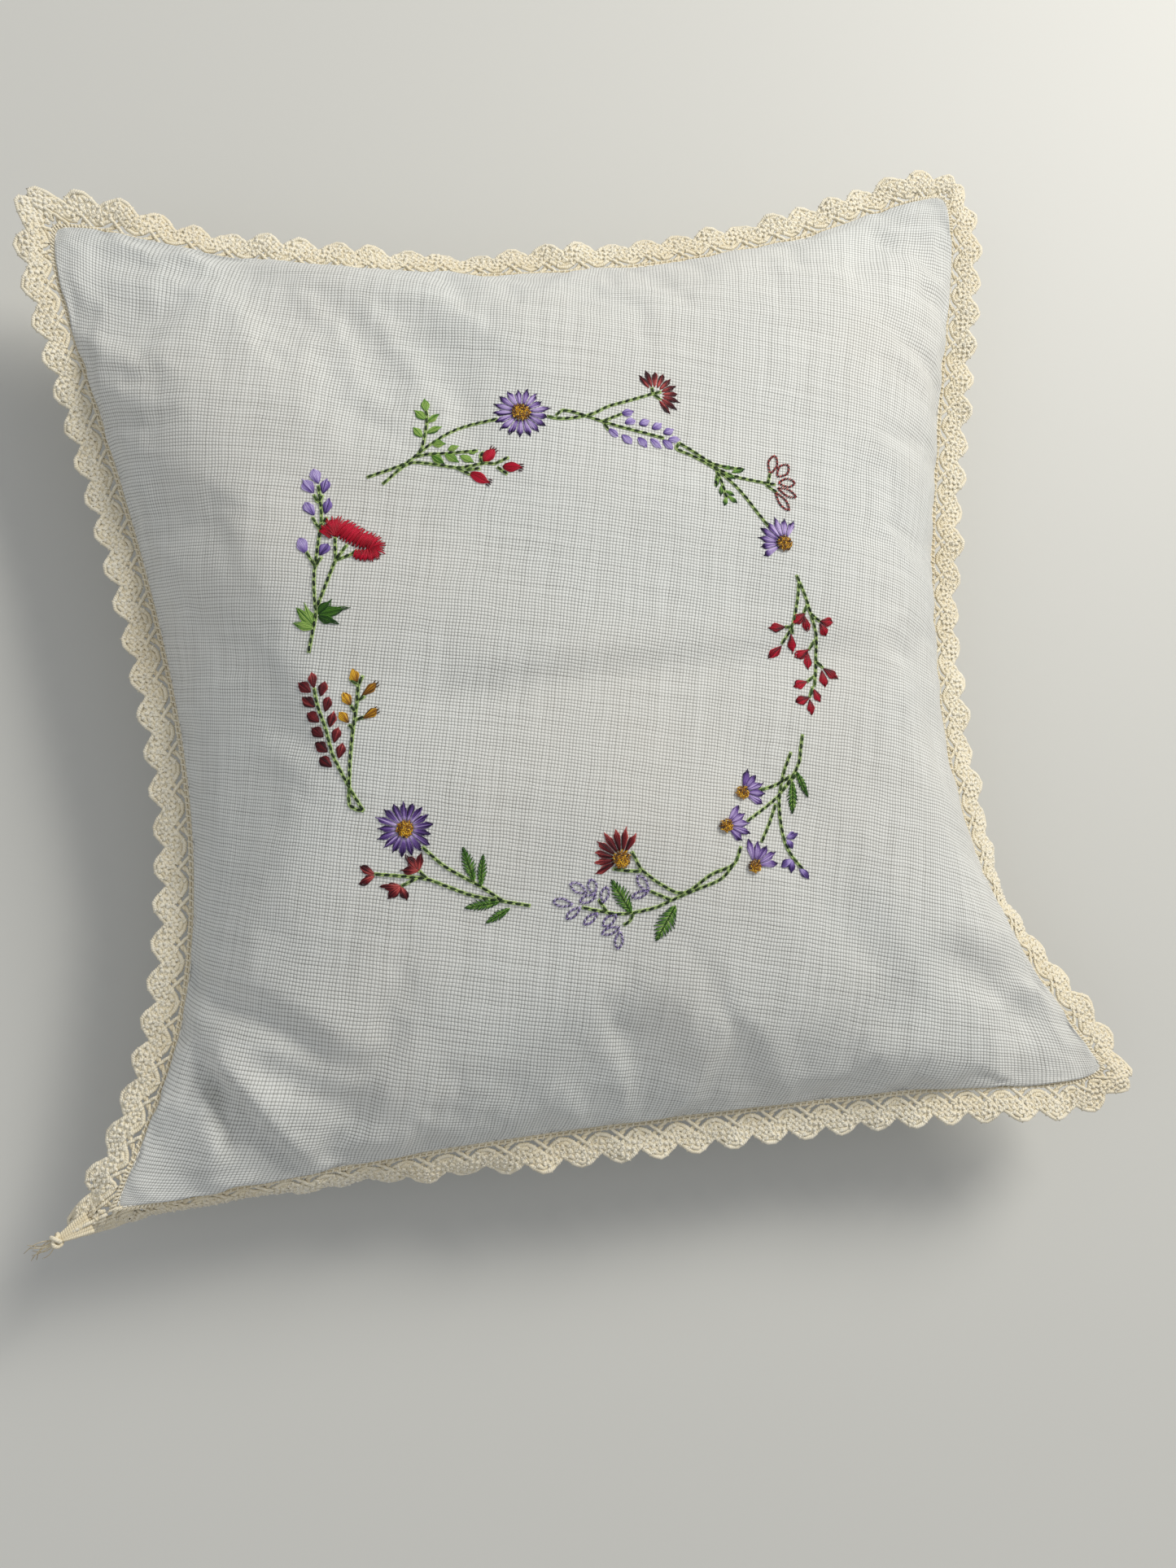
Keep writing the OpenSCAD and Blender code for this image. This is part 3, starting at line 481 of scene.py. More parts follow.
def makeWeaveGroup():
    # plain weave: the product of two sine waves makes one bump for each crossing of the threads,
    # with a pinhole between the bumps; long noise makes thick and thin threads
    group, inn, out = newGroup(
        "plainWeave",
        [("Vector", "NodeSocketVector", None), ("Pitch", "NodeSocketFloat", 0.0006),
         ("Slubs", "NodeSocketFloat", 0.5)],
        [("Height", "NodeSocketFloat"), ("Holes", "NodeSocketFloat"), ("Tone", "NodeSocketFloat")])
    wander = noiseAt(group, inn.outputs["Vector"], 60.0).outputs["Color"]
    drift = addNode(group, "ShaderNodeVectorMath", {0: wander, "Scale": 0.0014}, operation="SCALE")
    place = addNode(group, "ShaderNodeVectorMath", {0: inn.outputs["Vector"], 1: drift.outputs[0]},
                    operation="ADD")
    split = addNode(group, "ShaderNodeSeparateXYZ", {0: place.outputs[0]})
    rate = sums(group, "DIVIDE", np.pi, inn.outputs["Pitch"])
    waveX = sums(group, "SINE", sums(group, "MULTIPLY", split.outputs[0], rate))
    waveY = sums(group, "SINE", sums(group, "MULTIPLY", split.outputs[1], rate))
    bump = sums(group, "POWER", sums(group, "ABSOLUTE", sums(group, "MULTIPLY", waveX, waveY)), 0.45)
    slubX = addNode(group, "ShaderNodeMapping", {"Vector": place.outputs[0], "Scale": (900.0, 26.0, 1.0)})
    slubY = addNode(group, "ShaderNodeMapping", {"Vector": place.outputs[0], "Scale": (26.0, 900.0, 1.0)})
    slub = sums(group, "ADD", noiseAt(group, slubX.outputs[0], 1.0).outputs[0],
                noiseAt(group, slubY.outputs[0], 1.0).outputs[0])
    slub = sums(group, "MULTIPLY", sums(group, "SUBTRACT", slub, 1.0), inn.outputs["Slubs"])
    # the hole mask, which the cloth's colour uses to paint shade into the pinholes
    hole = sums(group, "SUBTRACT", 1.0, bump)
    hole = sums(group, "POWER", sums(group, "MAXIMUM", sums(group, "SUBTRACT", hole, slub), 0.0), 1.9)
    fine = noiseAt(group, place.outputs[0], 2600.0)
    relief = sums(group, "ADD", bump, sums(group, "MULTIPLY", fine.outputs[0], 0.5))
    group.links.new(sums(group, "ADD", relief, slub), out.inputs["Height"])
    group.links.new(sums(group, "MINIMUM", hole, 1.0), out.inputs["Holes"])
    group.links.new(sums(group, "ADD", 0.5, slub), out.inputs["Tone"])
    return group


def makeTwistGroup():
    # twisted yarn: slanted ridges from the place along a thread and round it, and a tone per strand
    group, inn, out = newGroup(
        "twistedYarn",
        [("Reach", "NodeSocketFloat", 0.0), ("Turn", "NodeSocketFloat", 0.0),
         ("Strand", "NodeSocketFloat", 0.0), ("Lay", "NodeSocketFloat", 1.0),
         ("Vector", "NodeSocketVector", None)],
        [("Height", "NodeSocketFloat"), ("Tone", "NodeSocketFloat")])
    lays = sums(group, "DIVIDE", inn.outputs["Reach"], inn.outputs["Lay"])
    turns = sums(group, "ADD", lays, inn.outputs["Turn"])
    ridge = sums(group, "ABSOLUTE", sums(group, "SINE", sums(group, "MULTIPLY", turns, 2 * np.pi)))
    noise = noiseAt(group, inn.outputs["Vector"], 1500.0, 3.0)
    broad = noiseAt(group, inn.outputs["Vector"], 140.0)
    tone = sums(group, "ADD", sums(group, "MULTIPLY", noise.outputs[0], 0.35),
                sums(group, "MULTIPLY", broad.outputs[0], 0.35))
    tone = sums(group, "ADD", tone, sums(group, "MULTIPLY", inn.outputs["Strand"], 0.3))
    height = sums(group, "ADD", ridge, sums(group, "MULTIPLY", noise.outputs[0], 0.5))
    group.links.new(height, out.inputs["Height"])
    group.links.new(tone, out.inputs["Tone"])
    return group


def makeHandlingGroup():
    # faint soiling: large soft patches broken up by a finer noise
    group, inn, out = newGroup(
        "handling", [("Vector", "NodeSocketVector", None), ("Size", "NodeSocketFloat", 12.0)],
        [("Mask", "NodeSocketFloat")])
    big = noiseAt(group, inn.outputs["Vector"], inn.outputs["Size"], 5.0)
    spread = addNode(group, "ShaderNodeMapRange",
                     {"Value": big.outputs[0], "From Min": 0.42, "From Max": 0.72})
    group.links.new(spread.outputs[0], out.inputs["Mask"])
    return group


weaveGroup, twistGroup, handlingGroup = makeWeaveGroup(), makeTwistGroup(), makeHandlingGroup()


def useGroup(tree, group, inputs):
    return addNode(tree, "ShaderNodeGroup", inputs, node_tree=group).outputs


def newMaterial(name, shader):
    # constant values go on the shader's own sockets
    material = bpy.data.materials.new(name)
    material.use_nodes = True
    tree = material.node_tree
    bsdf = tree.nodes["Principled BSDF"]
    for key, value in shader.items():
        bsdf.inputs[key].default_value = value
    return material, tree, bsdf


cottonFinish = {
    # hole is the colour of the painted shade in the pinholes between the threads
    "light": shades(238, 239, 234), "shade": shades(216, 217, 210), "hole": shades(92, 91, 86),
    "soil": shades(226, 214, 196), "soilShare": 0.22,
    "pitch": 0.00095, "turn": 13.0, "relief": 0.55,   # metres from thread to thread, and degrees
}


def clothMaterial(name, finish, slubs, depth):
    # woven cloth: the tone follows the slubs, the pinholes carry painted shade, and soil lies over both
    material, tree, bsdf = newMaterial(name, {
        "Roughness": 0.88, "Sheen Weight": 0.25, "Sheen Roughness": 0.5, "Specular IOR Level": 0.25})
    cloth = addNode(tree, "ShaderNodeUVMap", uv_map="cloth").outputs[0]
    turn = (0, 0, np.radians(finish["turn"]))
    turned = addNode(tree, "ShaderNodeMapping", {"Vector": cloth, "Rotation": turn}).outputs[0]
    weave = useGroup(tree, weaveGroup, {"Vector": turned, "Pitch": finish["pitch"], "Slubs": slubs})
    soil = useGroup(tree, handlingGroup, {"Vector": cloth, "Size": 9.0})
    colour = mixed(tree, weave["Tone"], (*finish["shade"], 1), (*finish["light"], 1))
    # painted shade: the pinholes between the threads are darkened towards the hole colour
    colour = mixed(tree, weave["Holes"], colour, (*finish["hole"], 1))
    soilShare = sums(tree, "MULTIPLY", soil["Mask"], finish["soilShare"])
    colour = mixed(tree, soilShare, colour, (*finish["soil"], 1))
    tree.links.new(colour, bsdf.inputs["Base Color"])
    bump = addNode(tree, "ShaderNodeBump",
                   {"Height": weave["Height"], "Strength": finish["relief"], "Distance": depth})
    tree.links.new(bump.outputs[0], bsdf.inputs["Normal"])
    return material


coverMaterial = clothMaterial("cotton_plain_weave", cottonFinish, 0.32, 0.0003)


def clothUv(grid):
    # the flat cloth's own coordinates
    n = grid.shape[0]
    places = np.linspace(-1, 1, n) * (pillow["flatCut"] / 2 - pillow["allowance"])
    return np.stack(np.meshgrid(places, places), -1).reshape(-1, 2)


def thicken(piece):
    # a wall of the cloth's thickness, laid inside the surface
    wall = piece.modifiers.new("cloth", "SOLIDIFY")
    wall.thickness, wall.offset = pillow["cloth"] * mm, -1
    wall.use_rim = True


coverFront = putMesh("cover_front", front, [gridFaces(*front.shape[:2])], coverMaterial, uv=clothUv(front))
thicken(coverFront)
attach(coverFront, "root")
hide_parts("front_panel")


# Camera, lights and floor
view = {
    "place": (-63.1, -89.3, 415.7), "turn": (-7.433, 8.996, 6.04), "lens": 30.0,
}
# Place in metres, power in watts, size in metres and colour of each area light
lights = {
    "key": ((0.90, 0.72, 0.95), 18.5, 0.60, (1.0, 0.98, 0.94)),
    "fill": ((-0.8, -0.3, 0.9), 1.4, 0.9, (0.92, 0.96, 1.0)),
}
studio = {
    "aim": (0, 0, 0.04),                              # what both lights point at, in metres
    "floor": (205, 204, 197), "floorHalf": 3.0,       # colour, and half the side in metres
    "sky": (0.93, 0.95, 1.0), "skyStrength": 0.42,
}


def addCamera():
    camera = bpy.data.objects.new("camera", bpy.data.cameras.new("camera"))
    camera.data.lens, camera.data.sensor_width = view["lens"], 36.0
    camera.data.clip_start = 0.01
    x, y, z = np.radians(view["turn"])
    toView = Matrix.Rotation(z, 3, "Z") @ Matrix.Rotation(y, 3, "Y") @ Matrix.Rotation(x, 3, "X")
    camera.matrix_world = Matrix.Translation(Vector(view["place"]) * mm) @ toView.transposed().to_4x4()
    bpy.context.scene.collection.objects.link(camera)
    bpy.context.scene.camera = camera


def addLight(name, place, power, size, colour):
    data = bpy.data.lights.new(name, "AREA")
    data.energy, data.size, data.color = power, size, colour
    light = bpy.data.objects.new(name, data)
    light.location = place
    way = Vector(studio["aim"]) - Vector(place)
    light.rotation_euler = way.to_track_quat("-Z", "Y").to_euler()
    bpy.context.scene.collection.objects.link(light)


def addStage():
    floor = bpy.data.meshes.new("floor")
    size = studio["floorHalf"]
    corners = [(-size, -size, 0), (size, -size, 0), (size, size, 0), (-size, size, 0)]
    floor.from_pydata(corners, [], [(0, 1, 2, 3)])
    material, tree, bsdf = newMaterial("floor", {"Roughness": 0.6})
    bsdf.inputs["Base Color"].default_value = (*shades(*studio["floor"]), 1)
    floor.materials.append(material)
    piece = bpy.data.objects.new("floor", floor)
    bpy.context.scene.collection.objects.link(piece)
    world = bpy.data.worlds.new("studio")
    bpy.context.scene.world = world
    world.use_nodes = True
    backdrop = world.node_tree.nodes["Background"]
    backdrop.inputs["Color"].default_value = (*studio["sky"], 1)
    backdrop.inputs["Strength"].default_value = studio["skyStrength"]


addCamera()
for name, light in lights.items():
    addLight(name, *light)
bpy.context.scene.view_settings.view_transform = "Standard"
addStage()


# Embroidery. Every thread is a tube that follows the face under its plan points.
def smoothCurve(points, spacing):
    # smooth curve through the points, read off at equal spacing
    p = np.array(points, float)
    pad = np.concatenate([[2 * p[0] - p[1]], p, [2 * p[-1] - p[-2]]])
    t = np.linspace(0, 1, 17)[:-1][None, :, None]
    a, b, c, d = (pad[k:len(p) - 1 + k][:, None] for k in range(4))
    fine = 0.5 * (2 * b + (c - a) * t + (2 * a - 5 * b + 4 * c - d) * t ** 2
                  + (3 * b - a - 3 * c + d) * t ** 3)
    fine = np.concatenate([fine.reshape(-1, p.shape[1]), p[-1:]])
    reach = np.concatenate([[0], np.cumsum(np.linalg.norm(np.diff(fine, axis=0), axis=1))])
    places = np.linspace(0, reach[-1], max(int(round(reach[-1] / spacing)), 1) + 1)
    return np.stack([np.interp(places, reach, fine[:, k]) for k in range(p.shape[1])], -1)


def faceThreads(paths, lift, width, shade, height=None, sides=5):
    # threads from plan paths (threads, points, 2), each point raised by lift above the cloth
    count = paths.shape[:2]
    points, normals = onFace(paths, np.broadcast_to(lift, count))
    width = np.broadcast_to(width, count)
    part = sweep(points, normals, width, 0.8 * width if height is None else height, sides)
    part["marks"]["shade"] = np.repeat(np.broadcast_to(shade, count)[..., None], sides, -1)
    return part


def arch(t):
    # 0 at both ends of a stitch, 1 in its middle, with steep ends
    return np.sqrt(np.maximum(4 * t * (1 - t), 0))


def stitches(starts, ends, width, lift, shade, hump=0.25, rings=5):
    # one arched straight stitch from each start to its end
    starts, ends = np.asarray(starts, float), np.asarray(ends, float)
    t = np.linspace(0, 1, rings)
    paths = starts[:, None] + (ends - starts)[:, None] * t[:, None]
    shade = np.asarray(shade, float)
    shade = shade[:, None] if shade.ndim == 1 else shade
    return faceThreads(paths, lift + hump * (arch(t) - 0.6), width * (0.55 + 0.45 * arch(t)), shade)


def fullness(t, widest, foot=0.9, point=0.5):
    # outline of a leaf or petal: a power curve from the base to the widest place, and beyond it
    # a curve that is an ellipse at point 0.5 and more pointed above that
    t = np.clip(t, 1e-6, 1 - 1e-6)
    beyond = np.maximum(1 - (np.maximum(t - widest, 0) / (1 - widest)) ** 2, 0)
    return np.where(t < widest, np.minimum(t / widest, 1) ** foot, beyond ** point)


def directions(base, tip):
    # base and tip as points, the unit direction from one to the other, and the one to its left
    base, tip = np.array(base, float), np.array(tip, float)
    way = (tip - base) / np.linalg.norm(tip - base)
    return base, tip, way, np.array([-way[1], way[0]])


def satinAlong(shapes, shadeRun, widest=0.68, foot=0.8, point=0.5, pitch=0.32, thread=0.40, lift=0.12,
               pad=0.32, ragged=0.05, rings=9):
    # long stitches side by side from base to tip, spread out to the outline of each shape;
    # the run of shades is (share of the length, shade from 0 pale to 1 dark)
    parts = []
    t = np.linspace(0, 1, rings)
    run = np.interp(t, *zip(*shadeRun))
    for base, tip, width in shapes:
        base, tip, _, aside = directions(base, tip)
        count = max(int(round((width - thread) / pitch)) + 1, 3)
        spread = np.linspace(-1, 1, count)
        ends = 1 + ragged * rng.standard_normal(count) - 0.13 * spread ** 2
        outline = fullness(t, widest, foot, point) * (width - 0.6 * thread) / 2
        paths = base + (tip - base) * t[:, None] * ends[:, None, None] \
            + aside * (spread[:, None] * outline)[..., None]
        rise = lift + pad * arch(t) * (1 - 0.5 * spread[:, None] ** 2)
        # the threads at the sides of each shape get a little painted shade, darker the farther out they lie,
        # where the padding turns down
        shade = run + 0.20 * rng.standard_normal((count, 1)) + 0.10 * np.abs(spread[:, None]) ** 3
        parts.append(faceThreads(paths, rise - 0.1, thread * (0.5 + 0.5 * arch(t)), shade))
    return parts


def tipHairs(shapes, count=4, length=0.9):
    # short dark stitches that fan out of the tip of each bud
    starts, ends = [], []
    for base, tip, width in shapes:
        base, tip, way, aside = directions(base, tip)
        spread = np.linspace(-0.7, 0.7, count)[:, None]
        foot = tip - way * 0.45 * np.abs(spread) + aside * spread * width * 0.42
        starts.append(foot - way * 0.5)
        ends.append(foot + (way + 0.35 * aside * spread) * length * (0.6 + 0.4 * rng.random((count, 1))))
    starts, ends = np.concatenate(starts), np.concatenate(ends)
    return stitches(starts, ends, 0.30, 0.16, np.full(len(starts), 1.05), hump=0.12)


def featherLeaves(shapes, pitch=0.50, thread=0.40, lift=0.18):
    # slanted stitches from a midrib out to a toothed edge, light inside and dark at the ends
    parts = []
    for base, tip, width in shapes:
        base, tip, _, aside = directions(base, tip)
        count = max(int(np.linalg.norm(tip - base) / pitch), 6)
        t = np.linspace(0.0, 0.88, count)
        for side in (-1, 1):
            tooth = 1 + 0.14 * (-1.0) ** np.arange(count) + 0.06 * rng.standard_normal(count)
            edge = side * width / 2 * fullness(np.minimum(t + 0.10, 0.98), 0.40, 0.6, 1.0) * tooth
            starts = base + (tip - base) * t[:, None] - aside * side * 0.12
            ends = base + (tip - base) * np.minimum(t + 0.15, 1.02)[:, None] + aside * edge[:, None]
            shade = np.linspace(0.0, 1.0, 5)[None] + 0.16 * rng.standard_normal((count, 1))
            parts.append(stitches(starts, ends, thread, lift, shade))
        rib = smoothCurve([base, (base + tip) / 2, tip], 1.2)
        parts.append(stitches(rib[:-1], rib[1:], 0.34, lift + 0.25, np.full(len(rib) - 1, 0.95)))
    return parts


stem = {
    "pitch": 2.25, "dash": 0.64, "width": 0.74, "side": 0.44, "apart": 0.25,
}


def stemStitches(lines):
    # two light threads side by side, with slanted dark dashes over them
    parts = []
    for line in lines:
        fine = smoothCurve(line, 0.7)
        way = unit(np.gradient(fine, axis=0))
        aside = np.stack([-way[:, 1], way[:, 0]], -1)
        ripple = 0.05 * np.sin(np.arange(len(fine)) * 1.9)
        for side in (-1, 1):
            path = (fine + aside * (side * stem["apart"] + ripple)[:, None])[None]
            parts.append(faceThreads(path, 0.10, stem["side"], 0.12 + 0.05 * side))
        spots = smoothCurve(line, stem["pitch"])
        run = np.diff(spots, axis=0)
        tilt = np.stack([-run[:, 1], run[:, 0]], -1) * 0.055
        starts = spots[:-1] + run * (1 - stem["dash"]) / 2 - tilt
        ends = spots[1:] - run * (1 - stem["dash"]) / 2 + tilt
        parts.append(stitches(starts, ends, stem["width"], 0.28,
                              0.92 + 0.08 * rng.standard_normal(len(run)), hump=0.30, rings=6))
    return parts


def petalShapes(flower, width, uneven=0.04):
    # base, tip and width of each petal; a flower is centre, inner and outer radius,
    # first and last angle, and number of petals
    (x, y), inner, outer, first, last, count = flower
    angles = np.radians(np.linspace(first, last, count))
    reach = outer * (1 + uneven * rng.standard_normal(count))
    return [((x + inner * 0.8 * np.cos(a), y + inner * 0.8 * np.sin(a)),
             (x + r * np.cos(a), y + r * np.sin(a)), width) for a, r in zip(angles, reach)]


def knots(flower, count, size=0.9):
    # a raised heap of short stitches that point every way, each in a shade at random
    (x, y), radius = flower[0], flower[1]
    place = np.sqrt(np.linspace(0.01, 1, count)) * radius * 0.92
    turn = np.arange(count) * goldenTurn
    middle = np.stack([x + place * np.cos(turn), y + place * np.sin(turn)], -1)
    way = turn * 3.3 + rng.uniform(-0.8, 0.8, count)
    step = np.stack([np.cos(way), np.sin(way)], -1) * size / 2
    rise = 0.45 + 0.45 * (1 - (place / radius) ** 2)
    return stitches(middle - step, middle + step, 0.40, rise[:, None], rng.uniform(0, 1, count), hump=0.4)


def zigzagLoops(shapes, thread=0.34):
    # petal outlines of short slanted stitches, open in the middle
    parts = []
    for base, tip, width in shapes:
        base, tip, _, aside = directions(base, tip)
        t = np.linspace(0, 1, 9)
        edge = fullness(t, 0.5, 0.7, 0.8)[:, None] * aside * (width - 0.5) / 2
        middle = base + (tip - base) * t[:, None]
        outline = smoothCurve(np.concatenate([middle + edge, (middle - edge)[::-1][1:]]), 0.62)
        run = np.diff(outline, axis=0)
        slant = np.stack([-run[:, 1], run[:, 0]], -1) * 0.5
        shade = np.tile([0.15, 0.9], len(run))[:len(run)] + 0.1 * rng.standard_normal(len(run))
        parts.append(stitches(outline[:-1] - slant, outline[1:] + slant, thread, 0.22, shade))
    return parts


threadFinish = {
    # pale, middle and dark shade of each thread
    "stem_green": ((170, 194, 118), (84, 112, 52), (16, 32, 14)),
    "leaf_green": ((158, 190, 96), (80, 130, 38), (26, 62, 16)),
    "violet": ((196, 176, 220), (108, 78, 150), (38, 20, 64)),
    "lilac": ((190, 174, 220), (124, 100, 170), (54, 34, 92)),
    "gold": ((232, 180, 44), (158, 104, 18), (66, 38, 8)),
    "crimson": ((200, 6, 50), (160, 0, 28), (66, 0, 14)),
    "rust": ((200, 92, 86), (120, 28, 34), (54, 8, 16)),
}


soilColour = (218, 196, 150)


def yarnMaterial(name, palette, lay, contrast, relief, depth, shader, soiled=0):
    # twisted yarn: the tone runs with the shade and varies from strand to strand, soil lies over it,
    # lay is the length of one twist, and relief and depth set the bump of the twist
    material, tree, bsdf = newMaterial(name, shader)
    marks = {k.title(): addNode(tree, "ShaderNodeAttribute", attribute_name=k).outputs["Fac"]
             for k in ("reach", "turn", "strand", "shade")}
    shade = marks.pop("Shade")
    place = addNode(tree, "ShaderNodeTexCoord").outputs["Object"]
    yarn = useGroup(tree, twistGroup, {**marks, "Lay": lay, "Vector": place})
    shift = sums(tree, "MULTIPLY", sums(tree, "SUBTRACT", yarn["Tone"], 0.5), contrast)
    stops = [(share, shades(*colour)) for share, colour in zip((0.0, 0.5, 1.0), palette)]
    colour = ramp(tree, sums(tree, "ADD", shade, shift), stops)
    if soiled:
        soil = useGroup(tree, handlingGroup, {"Vector": place, "Size": 30.0})
        soilShare = sums(tree, "MULTIPLY", soil["Mask"], soiled)
        colour = mixed(tree, soilShare, colour, (*shades(*soilColour), 1))
    tree.links.new(colour, bsdf.inputs["Base Color"])
    bump = addNode(tree, "ShaderNodeBump", {"Height": yarn["Height"], "Strength": relief, "Distance": depth})
    tree.links.new(bump.outputs[0], bsdf.inputs["Normal"])
    return material


def threadMaterial(name, palette):
    # mercerised thread, with a low gloss
    return yarnMaterial("thread_" + name, palette, lay=0.9, contrast=0.55, relief=0.5, depth=0.00008,
                        shader={"Roughness": 0.42, "Specular IOR Level": 0.3})


threads = {name: threadMaterial(name, palette) for name, palette in threadFinish.items()}


def embroider(node, colour, parts):
    # one embroidered piece that stands for its CAD node
    piece = putSweeps("stitched_" + node, parts, threads[colour])
    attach(piece, "root")
    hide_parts(node)


# How the shade runs from base to tip of each kind of satin shape
tones = {
    "asterPale": ((0, 0.85), (0.16, 0.5), (0.3, 0.05), (0.72, 0.2), (0.82, 0.9), (1, 1.25)),
    "asterDeep": ((0, 0.25), (0.16, 0.0), (0.34, 0.45), (0.75, 0.75), (1, 1.15)),
    "violetTip": ((0, 0.5), (0.4, 0.25), (0.7, 0.35), (0.85, 0.9), (1, 1.15)),
    "leaf": ((0, 0.35), (0.5, 0.05), (1, 0.5)),
    "dark": ((0, 0.85), (0.5, 0.7), (1, 0.9)),
    "tipped": ((0, 0.15), (0.6, 0.3), (0.8, 1.0), (1, 1.1)),
    "bud": ((0, 0.75), (0.25, 0.4), (0.6, 0.2), (0.9, 0.35), (1, 0.8)),
    "berry": ((0, 1.05), (0.35, 0.75), (0.7, 0.4), (0.9, 0.6), (1, 1.0)),
    "lilac": ((0, 0.8), (0.3, 0.4), (0.65, 0.05), (1, 0.3)),
    "deepBud": ((0, 1.0), (0.4, 0.7), (0.8, 0.45), (1, 0.9)),
    "gold": ((0, 1.0), (0.3, 0.45), (0.7, 0.05), (1, 0.3)),
    "paleTip": ((0, 0.9), (0.5, 0.75), (0.8, 0.4), (1, 0.1)),
    "redTip": ((0, 0.9), (0.6, 0.8), (1, 0.4)),
    "darkTip": ((0, 0.2), (0.35, 0.3), (0.6, 0.75), (1, 1.05)),
}

# Top left: violet aster, crimson buds and a leafy branch
asterSpray = {
    "stems": [
        [(-58, 44.5), (-50, 46.5), (-47, 47.5), (-43.5, 50), (-40.5, 52), (-35, 55), (-29.5, 57), (-21, 58)],
        [(-54, 42), (-47, 47), (-42.5, 47), (-34, 44.5), (-30.5, 44.5), (-26, 45), (-23.5, 44.5)],
        [(-44.5, 49), (-41.5, 49.5), (-35.5, 49), (-27.5, 49)],
        [(-43.5, 50), (-42, 52.5), (-40, 60), (-40, 63.5)],
        [(-34, 44.5), (-30.5, 42)],
        [(-23.5, 44.5), (-19.5, 46)],
        [(-23, 43.5), (-20.5, 41)],
        [(-27, 45), (-27, 47.5), (-26, 48.5)],
        [(-31.5, 43.5), (-27.5, 43.5)],
    ],
    "leaves": [
        ((-40, 63), (-40, 67), 2.4), ((-40.5, 60.5), (-43, 63.5), 2.4), ((-40, 59.5), (-36.5, 61.5), 1.9),
        ((-42, 55), (-44, 58.5), 2.2), ((-40.5, 56), (-36.5, 57.5), 2.0), ((-39.5, 52.5), (-36, 52), 2.4),
        ((-35.5, 50), (-32.5, 51), 1.7), ((-40, 49), (-37, 46), 2.4), ((-36.5, 49), (-33, 46), 2.3),
        ((-32.5, 48), (-29, 45.5), 2.1), ((-30, 48.5), (-27.5, 49), 1.3),
    ],
    "buds": [
        ((-26.5, 45.5), (-23, 49), 3.1), ((-21.5, 43.5), (-16.5, 42.5), 2.9),
        ((-30.5, 42.5), (-25.5, 39), 2.9),
    ],
    "flower": ((-14.4, 59.2), 2.7, 7.5, 5, 344, 17),
}
embroider("aster_spray_stems", "stem_green", stemStitches(asterSpray["stems"]))
embroider("aster_spray_leaves", "leaf_green",
          satinAlong(asterSpray["leaves"], tones["leaf"], 0.5, 0.6, 0.9, thread=0.34))
embroider("aster_spray_petals", "violet",
          satinAlong(petalShapes(asterSpray["flower"], 1.65), tones["asterPale"], 0.78, 0.8, 0.38))
embroider("aster_spray_centre", "gold", [knots(asterSpray["flower"], 70)])
embroider("aster_spray_buds", "crimson",
          satinAlong(asterSpray["buds"], tones["bud"], 0.5, 0.5, 0.6) + [tipHairs(asterSpray["buds"])])

# Left, upper: crimson cockscomb with lilac buds
cockscomb = {
    "stems": [
        [(-71, 44), (-71, 35), (-72, 30), (-73, 25.5), (-74.5, 18.5), (-75, 11.5), (-75, 8), (-76.5, 3),
         (-78, -2)],
        [(-68.5, 22), (-71, 17), (-74.5, 10)],
        [(-68, 28.5), (-68.5, 22)],
        [(-65, 26), (-68.5, 22)],
        [(-62.5, 24), (-64.5, 23), (-68.5, 22)],
        [(-73.5, 35), (-72, 31.5)],
        [(-69.5, 34.5), (-72, 31.5)],
        [(-76, 25.5), (-74, 21)],
        [(-72, 23.5), (-74, 21)],
        [(-72.5, 41.5), (-71.5, 39), (-70, 41)],
    ],
    "paleLeaf": [
        ((-76, 5), (-80, 10.5), 2.7), ((-76, 5.5), (-77.5, 10.5), 2.5), ((-76, 4.5), (-81, 6.5), 2.7),
    ],
    "darkLeaf": [
        ((-74.5, 8), (-71, 11), 2.7), ((-74.5, 8), (-67.5, 8.5), 2.9), ((-74.5, 7.5), (-70, 5), 2.7),
    ],
    "band": [
        (-70.8, 29.3), (-69.5, 31), (-67, 31.5), (-65, 30), (-62.5, 28), (-60, 26.5), (-57.7, 25.2),
        (-57.3, 23.4), (-59.5, 22.2), (-63, 23),
    ],
    "bandWidths": ((0, 3.6), (0.12, 5.6), (0.3, 5.4), (0.6, 4.8), (0.78, 3.6), (1, 2.6)),
    "paleBuds": [
        ((-71, 44.5), (-72, 49), 3.0), ((-72.5, 42), (-75, 46), 3.4), ((-73, 35.5), (-75, 39.5), 2.9),
        ((-76, 25), (-77.5, 29.5), 3.1),
    ],
    "deepBuds": [
        ((-70, 41.5), (-68.5, 45.5), 2.7), ((-70, 35.5), (-68.5, 39.5), 2.5), ((-72.5, 24), (-70, 27), 2.9),
    ],
}


def combStitches(line, widths):
    # stitches right across a curved band, with long and short ends that make a spiky edge,
    # dark on the inner side of the bend
    fine = smoothCurve(line, 0.30)
    way = unit(np.gradient(fine, axis=0))
    aside = np.stack([-way[:, 1], way[:, 0]], -1)
    count = np.arange(len(fine))
    width = np.interp(count / count[-1], *zip(*widths))
    spikes = [width / 2 * (1 + 0.15 * np.sign(np.sin(count * rate)) + 0.05 * rng.standard_normal(len(fine)))
              for rate in (2.1, 1.7)]
    t = np.linspace(0, 1, 9)
    shade = np.interp(t, [0, 0.12, 0.35, 0.5, 0.62, 0.9, 1], [0.9, 0.45, 0.55, 0.4, 0.15, 0.3, 0.9])
    shade = shade + 0.10 * rng.standard_normal((len(fine), 1))
    return [stitches(fine - aside * spikes[0][:, None], fine + aside * spikes[1][:, None] + 0.5 * way,
                     0.44, 0.35, shade, hump=0.75, rings=9)]


